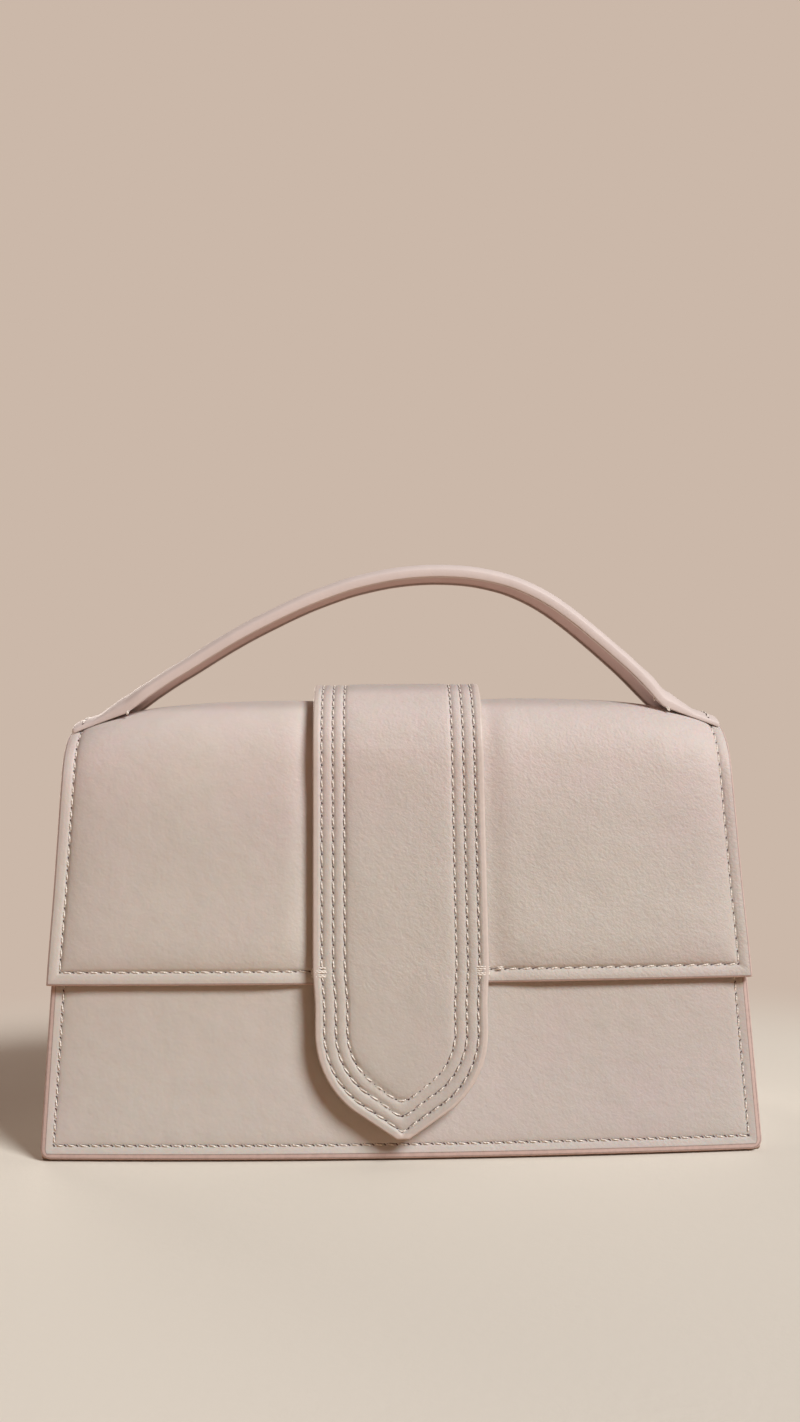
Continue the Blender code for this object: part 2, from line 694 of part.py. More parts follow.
def add_handle(bag):
    """The free arch of the handle: lining under, cover over, and the soft core between them."""
    reach = HANDLE_FREE - GAP / 2
    stations = [reach * (2 * i / HANDLE_STATIONS - 1) for i in range(HANDLE_STATIONS + 1)]
    cover_low = STRAP + GAP

    def cover_floor(x):
        return lambda y: cover_low + (core_height(x, y) + GAP if abs(y) < CORE_WIDTH / 2 else 0)

    lining = [strap_ring(x, lambda y: 0, lambda y: STRAP, strap_half(x)) for x in stations]
    bag.add("handle_lining", loft(lining), BODY_LEATHER, "handle_swing")
    cover = [strap_ring(x, cover_floor(x), lambda y, f=cover_floor(x): f(y) + STRAP, strap_half(x))
             for x in stations]
    bag.add("handle_cover", loft(cover), BAND_FINISH, "handle_swing")
    core = [strap_ring(x, lambda y: cover_low, lambda y, x=x: cover_low + core_height(x, y))
            for x in stations]
    bag.add("handle_core", loft(core), FILLER, "handle_swing")


def add_handle_ends(bag):
    """The flat ends of the handle, sewn to the top of the flap."""
    for side, word in ((LEFT, "left"), (RIGHT, "right")):
        rings = []
        for i in range(HANDLE_END_STATIONS + 1):
            along = GAP / 2 + (HANDLE_END_LENGTH - GAP / 2) * i / HANDLE_END_STATIONS
            x = side * (HANDLE_FREE + along)
            share = ease(end_share(x))
            thickness = 2 * STRAP + GAP + share * (STRAP_END - 2 * STRAP - GAP)
            radius = roll_circle(x)[2] + FLAP_LIFT

            def sag(y, share=share, radius=radius):
                return share * (radius - math.sqrt(radius ** 2 - y ** 2))

            def top(y, x=x, thickness=thickness, share=share):
                return thickness + (core_height(x, y) + GAP * (1 - share))

            rings.append(strap_ring(x, lambda y: 0, top, strap_half(x), sag))
        bag.add("handle_end_" + word, loft(rings), BAND_FINISH, "flap_hinge")


def main():
    """Clears the scene and builds the bag."""
    for item in list(bpy.data.objects):
        bpy.data.objects.remove(item)
    bag = Builder()
    hinge = surface_point(0, (BACK, HINGE_HEIGHT), BAND_LIFT + HINGE_STAND_OFF)
    bag.pivot("flap_hinge", hinge)
    bend = surface_point(0, (FRONT, BEND_HEIGHT), BAND_LIFT + HINGE_STAND_OFF)
    bag.pivot("tab_bend", bend, "flap_hinge")
    bag.pivot("handle_swing", Vector((0, 0, under_strap(-HANDLE_FREE) - SWING_DROP)), "flap_hinge")
    add_walls(bag)
    add_gussets(bag)
    add_base(bag)
    add_flap(bag)
    add_band(bag)
    add_tab(bag)
    add_handle(bag)
    add_handle_ends(bag)


main()
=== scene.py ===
"""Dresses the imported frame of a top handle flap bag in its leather, thread, lining and metal.

Lengths are metres in the frame's own axes: the bag stands on z = 0 and its front looks towards -Y.
Every leather piece is a thick sheet over one skin, which runs up the leaning front wall, over the
roll at the top and down the back wall. A lift is a distance outward from the body's own leather.
"""

import json
import math
import random

import bpy
from bpy.props import FloatProperty, FloatVectorProperty, PointerProperty
from mathutils import Matrix, Vector, noise


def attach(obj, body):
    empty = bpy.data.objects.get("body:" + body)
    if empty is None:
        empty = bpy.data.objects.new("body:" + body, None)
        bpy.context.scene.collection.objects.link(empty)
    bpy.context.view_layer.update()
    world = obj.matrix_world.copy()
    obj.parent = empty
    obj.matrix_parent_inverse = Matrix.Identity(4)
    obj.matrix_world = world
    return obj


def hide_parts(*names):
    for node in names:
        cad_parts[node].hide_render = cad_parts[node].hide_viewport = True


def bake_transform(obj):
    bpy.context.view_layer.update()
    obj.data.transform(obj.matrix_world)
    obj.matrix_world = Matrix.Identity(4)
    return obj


bl_info = {
    "name": "Top Handle Flap Bag",
    "version": (1, 0, 0),
    "blender": (4, 5, 0),
    "location": "View3D > Sidebar > Bag",
    "description": "Dresses the bag's frame in leather, thread, lining and metal",
    "category": "Object",
}

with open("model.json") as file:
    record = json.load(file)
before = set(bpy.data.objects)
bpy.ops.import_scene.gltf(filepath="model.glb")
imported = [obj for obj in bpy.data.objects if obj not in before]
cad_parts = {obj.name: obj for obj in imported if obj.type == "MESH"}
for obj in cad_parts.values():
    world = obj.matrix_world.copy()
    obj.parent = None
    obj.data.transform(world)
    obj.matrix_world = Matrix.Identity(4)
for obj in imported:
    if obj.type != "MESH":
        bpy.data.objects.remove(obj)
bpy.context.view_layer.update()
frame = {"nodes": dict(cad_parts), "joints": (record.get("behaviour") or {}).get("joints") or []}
JOINTS = {joint["name"]: Vector(joint["pos_m"]) for joint in frame["joints"]}

# Outside of the body
BODY_WIDTH = 0.240
SHOULDER_STEP = 0.0035
SHOULDER_HEIGHT = 0.131
BASE_DEPTH = 0.0826
SHOULDER_DEPTH = 0.0348
FRONT_CROWN = 0.0045
BACK_CROWN = 0.0020
RIDGE_HEIGHT = 0.1506
RIDGE_DROOP = 0.0112
DROOP_POWER = 5
ROLL_EASE = 0.008
LEAN = math.atan((BASE_DEPTH - SHOULDER_DEPTH) / 2 / SHOULDER_HEIGHT)
FRONT, ROLL, BACK = -1, 0, 1
LEFT, RIGHT = -1, 1

# Walls, gussets and base
GAP = 0.0003
WALL_LEATHER = 0.0016
GUSSET_LEATHER = 0.0014
LINING = 0.0008
PANEL_FOOT = 0.0008
PANEL_CORNER = 0.0035
WALL_TOP = {FRONT: 0.127, BACK: 0.1206}
WALL_LINING_LIFT = -0.0036
WALL_LINING_INSET = 0.0052
WALL_LINING_FOOT = 0.0056
GUSSET_EDGE = 0.0003
GUSSET_TOP = 0.123
WALL_PULL = 0.45
MARGIN_WIDTH = 0.0070
MARGIN_FOLD = 0.0016
PLEAT_DEPTH = 0.0135
PLEAT_FOOT = 0.0010
PLEAT_POWER = 1.3
PLEAT_ROUND = 0.09
PLEAT_SHAPE = 1.32
GUSSET_TRIM = 0.0007
BASE_LINING_HEIGHT = 0.0040
BASE_LINING_INSET = 0.0092
FACING_DEPTH = 0.0115
FACING_LEATHER = 0.0005
FACING_OUTER = -0.00185
FACING_INNER = -0.0050
FACING_DROP = 0.0006
FACING_LAP = 0.0030
FACING_SEAM = 0.0028
FACING_SEAM_INSET = 0.0030
FACING_ROUND = 0.0002
MARGIN_ROUND = 0.0006
LINING_ROUND = 0.0003
LINING_DROP = 0.0012
LINING_REACH = 0.006

# Flap and yoke, one skin from the hem over the roll to the yoke's lower edge
HEM_HEIGHT = 0.0560
YOKE_LOW = 0.0966
FLAP_OVERHANG = 0.0008
FLAP_LIFT = 0.0026
FLAP_SPRING = 0.0012
FLAP_SPRING_PLACES = (0.002, 0.036)
FLAP_SPRING_REACH = 0.022
FLAP_CLEAR_REACH = 0.010
FLAP_BACK_PUFF = 0.2
HEM_SEAM_STOP = 0.0012

# Centre band and the tab that it ends in
BAND_HALF = 0.0286
BAND_FLARE = 0.0008
BAND_FLARE_HEIGHTS = (0.048, 0.062)
BAND_LIFT = 0.0070
BAND_ARCH = 0.0014
BAND_ARCH_HEIGHTS = (0.112, 0.147)
BAND_FOLD = 0.0027
BAND_FOLD_WIDTH = 0.0075
BAND_BACK = FLAP_LIFT + GAP
BAND_JOIN = 0.0520
BAND_TOP_PUFF = 0.3
BAND_PUFF_REACH = 0.6
TAB_SHOULDER = 0.0410
TAB_TIP = 0.0073
TAB_TIP_HALF = 0.0020
TAB_RADIUS = 0.0305
TAB_TURN = math.radians(55)

# Magnetic snap
SNAP_HEIGHT = 0.0270
SNAP_RADIUS = 0.0080
SNAP_PLATE = 0.0009
SNAP_BORE = 0.0033
SNAP_NUB = 0.0025
SNAP_NUB_DROP = 0.0009
SNAP_LIP = 0.0003

# Handle
HANDLE_HALF_SPAN = 0.1163
HANDLE_FREE = 0.0880
HANDLE_WIDTH = 0.0240
HANDLE_END_WIDTH = 0.0190
HANDLE_EDGE = 0.0026
HANDLE_CROWN = 0.0056
HANDLE_CORNER = 0.0005
HANDLE_TURNING = 0.0020
HANDLE_RECESS = 0.0006
HANDLE_END_THICKNESS = 0.0022
HANDLE_CROWN_END = 0.1075
HANDLE_FADE = 0.0080
HANDLE_MIDDLE = 0.0020
HANDLE_SEAM = 0.1122
HANDLE_TIP = 0.0009
HANDLE_TIP_SHRINK = (0.12, 0.75)
HANDLE_CROWN_POWERS = (2.4, 0.60)
HANDLE_RINGS = 84

# The underside of the handle's free arch: place along X and height in millimetres
HANDLE_PATH = (
    (-101.6, 147.0), (-94.5, 150.4), (-87.5, 155.1), (-80.4, 159.7), (-73.2, 164.0),
    (-66.1, 168.4), (-59.0, 172.6), (-51.9, 176.5), (-44.7, 180.1), (-37.6, 183.5),
    (-30.5, 186.6), (-23.3, 189.3), (-16.2, 191.7), (-9.0, 193.5), (-1.9, 194.9),
    (5.3, 195.8), (12.4, 196.2), (19.5, 196.1), (26.7, 195.5), (33.8, 194.2),
    (40.9, 192.2), (48.1, 189.1), (55.2, 185.0), (62.3, 179.8), (69.3, 174.0),
    (76.4, 167.8), (83.5, 161.3), (90.5, 154.1), (94.5, 150.3), (101.6, 146.5))
# Ends of thread that show under the strap's front edge: place along X, distance inside the edge
HANDLE_THREADS = {"left": ((-0.0958, 0.0),), "right": ((0.0969, 0.0), (0.0925, 0.0012))}
# How far the right leg turns to show its underside: place along X, degrees
HANDLE_TWIST = ((0.030, 0), (0.066, -1.0), (0.088, -1.6), (0.102, 0))

# Where the leather bends: from where it follows one body to where it follows the next. The fold at
# the back has the run of its bend, and how far below the hinge it starts.
HINGE_BEND = (Vector((0, -0.0085, 0.0049)), 0.0060)
BAND_BEND_EARLY = 0.3
TAB_BEND = (0.0585, 0.0465)

# Cell sizes of the meshes in metres: close to the seams, and elsewhere
WALL_CELLS = (0.0003, 0.0028)
WALL_CELLS_ACROSS = (0.0003, 0.0030)
FLAP_CELLS = (0.0003, 0.0024)
BAND_CELLS = (0.0004, 0.0018)
BAND_CELLS_ACROSS = (0.0003, 0.0016)
SEAM_CELLS = (0.0015, 0.0015)

# Slow unevenness of the leather: length and height of its waves
WALL_RIPPLE = (0.035, 0.00022)
LINING_RIPPLE = (0.04, 0.0003)
GUSSET_RIPPLE = (0.03, 0.0004)
BASE_RIPPLE = (0.03, 0.0002)
FLAP_RIPPLE = (0.030, 0.00030)
BAND_RIPPLE = (0.024, 0.00022)

# Leather beside a seam: half width of the wide dip, and place, half width and height of the rim
DIP_WIDTH = 0.0019
BEAD_PLACE = 0.0019
BEAD_WIDTH = 0.0011
BEAD_HEIGHT = 0.00014

# Where the leather's colour and grain change, and where light and shade are painted on it:
# heights, and places across the bag
BLUSH_HEIGHTS = (0.08, 0.15)
# The roll's bend is lightened between these heights: a painted highlight where the light falls
ROLL_HIGHLIGHT_HEIGHTS = (0.106, 0.136)
# The walls are tinted lighter below these heights: painted light bounced up from the floor
BOUNCE_LIGHT_HEIGHTS = (0.002, 0.060)
GRAIN_HEIGHTS = (0.050, 0.058)
# The top above the crest darkens over this height: painted shade where it turns from the light
CREST_SHADE_FADE = 0.0036
GRAIN_ACROSS = (-0.07, 0.03)
# The right half is darkened between these places: painted shade against the stronger light there
SHADE_ACROSS = (-0.03, 0.09)

# Finishes of a sheet's outer face, the crease beside its edge in darker paint as painted shade,
# its edge and its inner face
LINED = ("blush_leather", "edge_crease", "edge_paint", "suede")
ALL_SUEDE = ("suede",) * 4

# Studio: each light's place, size and tint, the floor, the sky and the camera
LIGHTS = {"key": ((1.860, -1.840, 2.260), 1.25, (1.0, 1.0, 1.0)),
          "fill": ((-0.95, -0.90, 0.45), 0.90, (1.0, 0.82, 0.68)),
          "back": ((-0.75, 1.15, 0.35), 0.80, (1.0, 0.92, 0.84))}
LIGHTS_AIM = Vector((0, 0, 0.09))
FLOOR_RADIUS = 4
FLOOR_SIDES = 64
FLOOR_MIDDLE = (0, -0.12, 0)
FLOOR_FADE = (0.27, 0.44)
FLOOR_BOUNCE = (0.50, 0.325, 0.205)
SKY_COLOUR = (1.0, 0.45, 0.25, 1)
CAMERA_PLACE = (-0.0061, -0.4768, 0.1368)
CAMERA_TURNS = ((-0.881, "Z"), (91.445, "X"), (-0.587, "Z"))
CAMERA_LENS = 33.0
SENSOR_WIDTH = 36
CLIP_START = 0.01


class BagSizes(bpy.types.PropertyGroup):
    """Sizes of the bag's seams, edges and padding."""

    flap_seam: FloatProperty(
        name="Flap seam", description="Distance of the flap's seam from its edge",
        default=0.0044, min=0.001, unit="LENGTH")
    panel_seam: FloatProperty(
        name="Panel seam", description="Distance of the wall's seam from its edge",
        default=0.0045, min=0.001, unit="LENGTH")
    band_seam: FloatProperty(
        name="Band seam", description="Distance of the band's first seam from its edge",
        default=0.0031, min=0.001, unit="LENGTH")
    band_seam_step: FloatProperty(
        name="Band seam step", description="Distance from one of the band's seams to the next",
        default=0.00385, min=0.001, unit="LENGTH")
    stitch_pitch: FloatProperty(
        name="Stitch pitch", description="Length of one stitch on the flap and the band",
        default=0.0043, min=0.001, unit="LENGTH")
    panel_pitch: FloatProperty(
        name="Panel stitch pitch", description="Length of one stitch on the walls",
        default=0.0039, min=0.001, unit="LENGTH")
    thread_width: FloatProperty(
        name="Thread width", description="Width of the sewing thread",
        default=0.00050, min=0.0001, unit="LENGTH")
    groove_depth: FloatProperty(
        name="Groove depth", description="How deep a seam pulls the leather in",
        default=0.00052, min=0.0, unit="LENGTH")
    groove_width: FloatProperty(
        name="Groove width", description="Half width of the groove along a seam",
        default=0.00060, min=0.0001, unit="LENGTH")
    flap_puff: FloatProperty(
        name="Flap padding", description="How far the flap swells inside its seam",
        default=0.0015, min=0.0, unit="LENGTH")
    panel_puff: FloatProperty(
        name="Wall padding", description="How far the walls swell inside their seam",
        default=0.0006, min=0.0, unit="LENGTH")
    band_puff: FloatProperty(
        name="Band padding", description="How far the band swells inside its seams",
        default=0.00035, min=0.0, unit="LENGTH")
    puff_reach: FloatProperty(
        name="Padding reach", description="Distance over which the padding swells",
        default=0.0046, min=0.0005, unit="LENGTH")
    rim: FloatProperty(
        name="Edge round", description="Radius of the painted edges",
        default=0.0007, min=0.0001, unit="LENGTH")


class BagColours(bpy.types.PropertyGroup):
    """Colours of the bag and its studio."""

    pale: FloatVectorProperty(
        name="Leather", description="Beige part of the leather's colour",
        default=(0.634, 0.590, 0.534), min=0, max=1, subtype="COLOR")
    rosy: FloatVectorProperty(
        name="Leather blush", description="Pink part of the leather's colour",
        default=(0.645, 0.566, 0.538), min=0, max=1, subtype="COLOR")
    edge: FloatVectorProperty(
        name="Edge paint", description="Colour of the painted edges",
        default=(0.640, 0.490, 0.445), min=0, max=1, subtype="COLOR")
    # Darker and redder than the leather: partly painted shade under the handle
    under: FloatVectorProperty(
        name="Handle underside", description="Colour of the leather under the handle",
        default=(0.620, 0.450, 0.430), min=0, max=1, subtype="COLOR")
    thread: FloatVectorProperty(
        name="Thread", description="Colour of the sewing thread",
        default=(0.930, 0.870, 0.790), min=0, max=1, subtype="COLOR")
    suede: FloatVectorProperty(
        name="Suede", description="Colour of the lining",
        default=(0.430, 0.320, 0.255), min=0, max=1, subtype="COLOR")
    nickel: FloatVectorProperty(
        name="Nickel", description="Colour of the snap",
        default=(0.680, 0.670, 0.650), min=0, max=1, subtype="COLOR")
    floor: FloatVectorProperty(
        name="Floor", description="Colour of the floor",
        default=(0.795, 0.755, 0.668), min=0, max=1, subtype="COLOR")
    backdrop: FloatVectorProperty(
        name="Backdrop", description="Colour of the backdrop",
        default=(0.597, 0.479, 0.397), min=0, max=1, subtype="COLOR")


class BagStudio(bpy.types.PropertyGroup):
    """Strength of the studio's lights."""

    key: FloatProperty(
        name="Key light", description="Power of the large light at the upper right",
        default=122.0, min=0.0, unit="POWER")
    fill: FloatProperty(
        name="Fill light", description="Power of the large light at the left",
        default=0.35, min=0.0, unit="POWER")
    back: FloatProperty(
        name="Back light", description="Power of the large light behind the bag",
        default=8.0, min=0.0, unit="POWER")
    sky: FloatProperty(
        name="Sky", description="Strength of the light from all round", default=0.105, min=0.0)


class Wire:
    """A shader node's output, so that maths on it reads as a Python expression."""

    def __init__(self, finish, socket):
        self.finish, self.socket = finish, socket

    def maths(self, operation, *values):
        """A Math node on these values."""
        return self.finish.node("ShaderNodeMath", {"operation": operation},
                                dict(enumerate(values)))

    def __add__(self, other):
        return self.maths("ADD", self, other)

    __radd__ = __add__

    def __sub__(self, other):
        return self.maths("SUBTRACT", self, other)

    def __rsub__(self, other):
        return self.maths("SUBTRACT", other, self)

    def __mul__(self, other):
        return self.maths("MULTIPLY", self, other)

    __rmul__ = __mul__

    def between(self, low, high):
        """0 below low, 1 above high and a smooth step between them."""
        return self.finish.node("ShaderNodeMapRange", {"interpolation_type": "SMOOTHSTEP"},
                                {"Value": self, "From Min": low, "From Max": high})


class Nodes:
    """A node tree whose nodes all come from one method."""

    def __init__(self, tree):
        self.tree = tree

    def node(self, kind, settings=None, inputs=None, output=0):
        """One node with its settings and its sockets' values or links; gives one output."""
        node = self.tree.nodes.new(kind)
        for setting, value in (settings or {}).items():
            setattr(node, setting, value)
        for socket, value in (inputs or {}).items():
            self.feed(node.inputs[socket], value)
        return Wire(self, node.outputs[output])

    def feed(self, socket, value):
        """Links a wire into a socket, or sets its value."""
        if isinstance(value, Wire):
            self.tree.links.new(value.socket, socket)
        else:
            socket.default_value = value

    def seen(self):
        """1 for rays from the camera, of reflections and through glass, 0 for all others."""
        camera, glossy, through = (self.node("ShaderNodeLightPath", output=kind) for kind in
                                   ("Is Camera Ray", "Is Glossy Ray", "Is Transmission Ray"))
        return camera.maths("MAXIMUM", camera, glossy.maths("MAXIMUM", glossy, through))

    def show(self, output, share, lit, shown):
        """Feeds an output with a mix of two shaders."""
        self.feed(self.tree.nodes[output].inputs["Surface"], self.node(
            "ShaderNodeMixShader", {}, {0: share, 1: lit, 2: shown}))


class Finish(Nodes):
    """A material, whose fixed values are set on its shader."""

    def __init__(self, name, **fixed):
        self.material = bpy.data.materials.new(name)
        if self.material.name != name:
            raise RuntimeError(name + " is the name of another material")
        self.material.use_nodes = True
        super().__init__(self.material.node_tree)
        self.shader = self.tree.nodes["Principled BSDF"]
        for socket, value in fixed.items():
            self.shader.inputs[socket.replace("_", " ")].default_value = value
        self.place = self.node("ShaderNodeTexCoord", output="Object")

    def noise(self, size, detail=2.0, roughness=0.5, stretch=None, lean=(0, 0, 0), distortion=0.0):
        """Noise whose grains are about this size in metres, leaning by degrees round the axes."""
        place = self.place
        if stretch:
            place = self.node("ShaderNodeMapping", {}, {
                "Vector": place, "Rotation": tuple(math.radians(turn) for turn in lean)})
            place = self.node("ShaderNodeMapping", {}, {"Vector": place, "Scale": stretch})
        return self.node("ShaderNodeTexNoise", {}, {
            "Vector": place, "Scale": 1 / size, "Detail": detail, "Roughness": roughness,
            "Distortion": distortion})

    def axis(self, letter):
        """One coordinate of the place on the bag, in metres."""
        return self.node("ShaderNodeSeparateXYZ", {}, {"Vector": self.place}, output=letter)

    def cells(self, size):
        """Distance inside cells of about this size in metres."""
        warp = self.node("ShaderNodeTexNoise", {}, {
            "Vector": self.place, "Scale": 1 / size, "Detail": 2.0}, output="Color")
        place = self.node("ShaderNodeMix", {"data_type": "VECTOR", "factor_mode": "UNIFORM"},
                          {0: size * 0.5, 4: self.place, 5: warp}, output=1)
        return self.node("ShaderNodeTexVoronoi", {"feature": "F1"}, {
            "Vector": place, "Scale": 1 / size})

    def mix(self, share, first, second, blend="MIX"):
        """Two colours mixed by a share."""
        return self.node("ShaderNodeMix", {"data_type": "RGBA", "blend_type": blend},
                         {0: share, 6: colour(first), 7: colour(second)}, output=2)

    def bump(self, *heights):
        """Feeds the shader's normal from heights, each given with its depth in metres."""
        normal = None
        for height, depth in heights:
            inputs = {"Height": height, "Distance": depth}
            if normal:
                inputs["Normal"] = normal
            normal = self.node("ShaderNodeBump", {}, inputs)
        self.feed(self.shader.inputs["Normal"], normal)

    def paint(self, base, roughness):
        """Feeds the shader's colour and roughness."""
        self.feed(self.shader.inputs["Base Color"], colour(base))
        self.feed(self.shader.inputs["Roughness"], roughness)


def colour(value):
    """A colour with its alpha; a wire is left as it is."""
    return value if isinstance(value, Wire) else (*value[:3], 1)


def shade(base, level):
    """A colour made darker or lighter."""
    return tuple(min(part * level, 1) for part in base[:3])


def dim(finish, base, level):
    """A wire's colour made darker or lighter."""
    return finish.mix(1.0, base, (level, level, level), blend="MULTIPLY")


def leather(name, pale, rosy, roughness=0.56, grain=1.0, crest=0.1484, soft=0.22,
            foot=(1.05, 1.08, 1.11)):
    """Smooth satin leather: broad blush areas, fine mottling, pores and a crinkled grain.

    A painted highlight makes it lightest on the bend below the crest, painted shade makes it
    duller on top and darker on the right half, painted light from the floor tints it towards
    the foot, and the grain is strongest on the right half.
    """
    finish = Finish(name, IOR=1.42, Subsurface_Weight=soft,
                    Subsurface_Radius=(1.0, 0.36, 0.20), Subsurface_Scale=0.0022)
    clouds = finish.noise(0.060, 2.0)
    mottle = finish.noise(0.009, 3.0, 0.6)
    pores = finish.cells(0.0011)
    crinkle = finish.noise(0.0013, 3.0, 0.66, stretch=(0.72, 1.0, 1.35), lean=(0, -38, 0),
                           distortion=0.8)
    across, up = finish.axis("X"), finish.axis("Z")
    blush = clouds * 1.9 - 0.70 + up.between(*BLUSH_HEIGHTS) * 0.50 + across * 0.8
    base = finish.mix(blush.between(0.0, 0.9), pale, rosy)
    base = finish.mix(mottle.between(0.30, 0.70) * 0.45, base, shade(pale, 0.93))
    # Painted highlight on the bend of the roll
    base = finish.mix(up.between(*ROLL_HIGHLIGHT_HEIGHTS), base, dim(finish, base, 1.10))
    # Painted shade on the top above the crest
    base = finish.mix(up.between(crest, crest + CREST_SHADE_FADE), base, dim(finish, base, 0.80))
    # Painted shade on the right half
    base = finish.mix(across.between(*SHADE_ACROSS), base, dim(finish, base, 0.90))
    # Painted light bounced from the floor, towards the foot
    base = finish.mix(up.between(*BOUNCE_LIGHT_HEIGHTS),
                      finish.mix(1.0, base, foot, blend="MULTIPLY"), base)
    above_hem = up.between(*GRAIN_HEIGHTS)
    rough = across.between(*GRAIN_ACROSS) * (above_hem * 0.25 + 0.75)
    worn = (rough * 0.58 + above_hem * 0.17 + 0.08) * grain
    wrinkle = crinkle.between(0.36, 0.64)
    base = finish.mix(wrinkle * 0.8 * worn, dim(finish, base, 0.955), base)
    base = finish.mix(pores.between(0.45, 0.95) * 0.25 * worn, base, dim(finish, base, 0.90))
    finish.paint(base, roughness + (mottle - 0.5) * 0.16 + (crinkle - 0.5) * 0.22 * worn)
    finish.bump((crinkle * worn, 0.00020), (pores * worn, 0.00008), (mottle, 0.00034 * grain))


def edge_paint(name, base, dark):
    """Glossier painted edge with slight brush marks."""
    finish = Finish(name, IOR=1.47)
    streak = finish.noise(0.0016, 3.0, 0.6)
    tone = finish.mix(streak.between(0.3, 0.75), base, dark)
    finish.paint(tone, 0.36 + streak * 0.14)
    finish.bump((streak, 0.00007))


def suede(name, base):
    """Matt napped lining with brushed patches."""
    finish = Finish(name, IOR=1.35, Sheen_Weight=0.35, Sheen_Roughness=0.55)
    nap = finish.noise(0.00035, 4.0, 0.7)
    brushed = finish.noise(0.014, 2.0, 0.55, distortion=1.0)
    tone = finish.mix(brushed.between(0.35, 0.70), shade(base, 0.86), shade(base, 1.12))
    tone = finish.mix(nap.between(0.40, 0.75) * 0.5, tone, shade(base, 0.70))
    finish.paint(tone, 0.86 + nap * 0.10)
    finish.bump((nap, 0.00008), (brushed, 0.00020))


def thread_finish(name, base):
    """Waxed thread of twisted plies."""
    finish = Finish(name, IOR=1.42)
    ply = finish.node("ShaderNodeTexWave", {"bands_direction": "DIAGONAL"}, {
        "Vector": finish.place, "Scale": 520.0, "Distortion": 2.0, "Detail": 1.0}, output="Fac")
    wear = finish.noise(0.004, 2.0)
    tone = finish.mix(ply.between(0.2, 0.9) * 0.45, base, shade(base, 0.62))
    tone = finish.mix(wear.between(0.45, 0.75) * 0.3, tone, shade(base, 0.82))
    finish.paint(tone, 0.52 + ply * 0.12)
    finish.bump((ply, 0.00010))


def hole_finish(name, base):
    """Near-black painted shade inside a needle hole and beside a stitch, with torn fibres in it.
    """
    finish = Finish(name, IOR=1.3)
    fibre = finish.noise(0.0003, 2.0)
    finish.paint(finish.mix(fibre.between(0.3, 0.7), shade(base, 0.22), shade(base, 0.36)),
                 0.90 + fibre * 0.05)
    finish.bump((fibre, 0.00006))


def metal(name, base):
    """Satin nickel plate with fine turning marks."""
    finish = Finish(name, Metallic=1.0)
    marks = finish.noise(0.0022, 3.0, 0.6, stretch=(1.0, 1.0, 9.0))
    wear = finish.noise(0.0035, 3.0, 0.6)
    finish.paint(finish.mix(wear.between(0.4, 0.8) * 0.4, base, shade(base, 0.78)),
                 0.24 + marks * 0.14 + wear * 0.08)
    finish.bump((marks, 0.00002))


def board(name):
    """Grey-brown bonded board with pressed fibres."""
    finish = Finish(name, IOR=1.4)
    fibre = finish.noise(0.0018, 4.0, 0.65, stretch=(1.0, 3.0, 1.0))
    finish.paint(finish.mix(fibre.between(0.3, 0.7), (0.36, 0.32, 0.27), (0.46, 0.42, 0.36)),
                 0.86 + fibre * 0.08)
    finish.bump((fibre, 0.00012))


def studio_floor(name, base, backdrop):
    """Pale floor that passes into the colour of the backdrop away from the bag."""
    finish = Finish(name, IOR=1.3)
    fibre = finish.noise(0.004, 4.0, 0.6)
    cloud = finish.noise(0.30, 2.0)
    tone = finish.mix(cloud.between(0.3, 0.7), base, shade(base, 0.96))
    seen = finish.seen()
    finish.paint(finish.mix(seen, FLOOR_BOUNCE, tone), 0.88 + fibre * 0.06)
    finish.bump((fibre, 0.00010))
    away = finish.node("ShaderNodeVectorMath", {"operation": "DISTANCE"},
                       {0: finish.place, 1: FLOOR_MIDDLE}, output="Value")
    glow = finish.node("ShaderNodeEmission", {}, {"Color": colour(backdrop)})
    finish.show("Material Output", away.between(*FLOOR_FADE) * seen,
                Wire(finish, finish.shader.outputs[0]), glow)


def smooth_step(low, high, value):
    """0 up to low, 1 from high on and a smooth step between them."""
    share = min(max((value - low) / (high - low), 0), 1)
    return share * share * (3 - 2 * share)


def ripple(point, size, height, seed=0.0):
    """Slow unevenness of soft leather."""
    return height * noise.noise(point / size + Vector((seed, 0, 0)))


def body_half(height):
    """Half the width of the front and back walls at a height."""
    return BODY_WIDTH / 2 - SHOULDER_STEP * height / SHOULDER_HEIGHT


def foot_depth(x, side):
    """Distance from the bag's middle plane to the foot of the front or back wall."""
    crown = FRONT_CROWN if side == FRONT else BACK_CROWN
    return BASE_DEPTH / 2 + crown * (1 - min(abs(x) / (BODY_WIDTH / 2), 1) ** 2)


def ridge(x):
    """Height of the roll's top at x."""
    return RIDGE_HEIGHT - RIDGE_DROOP * min(abs(x) / (BODY_WIDTH / 2), 1) ** DROOP_POWER


def roll_circle(x):
    """Centre (y, z) and radius of the roll that is tangent to both walls at x."""
    depth = (foot_depth(x, FRONT) + foot_depth(x, BACK)) / 2
    rise = math.cos(LEAN) - (1 - math.sin(LEAN)) * math.tan(LEAN)
    radius = (depth - ridge(x) * math.tan(LEAN)) / rise
    return (foot_depth(x, BACK) - foot_depth(x, FRONT)) / 2, ridge(x) - radius, radius


def roll_start(x):
    """Height at which the walls end and the roll starts."""
    middle, radius = roll_circle(x)[1:]
    return middle + radius * math.sin(LEAN)


def wall_point(x, side, height, lift):
    """A point over the front or back wall."""
    depth = foot_depth(x, side) - height * math.tan(LEAN) + lift * math.cos(LEAN)
    return Vector((x, side * depth, height + lift * math.sin(LEAN)))


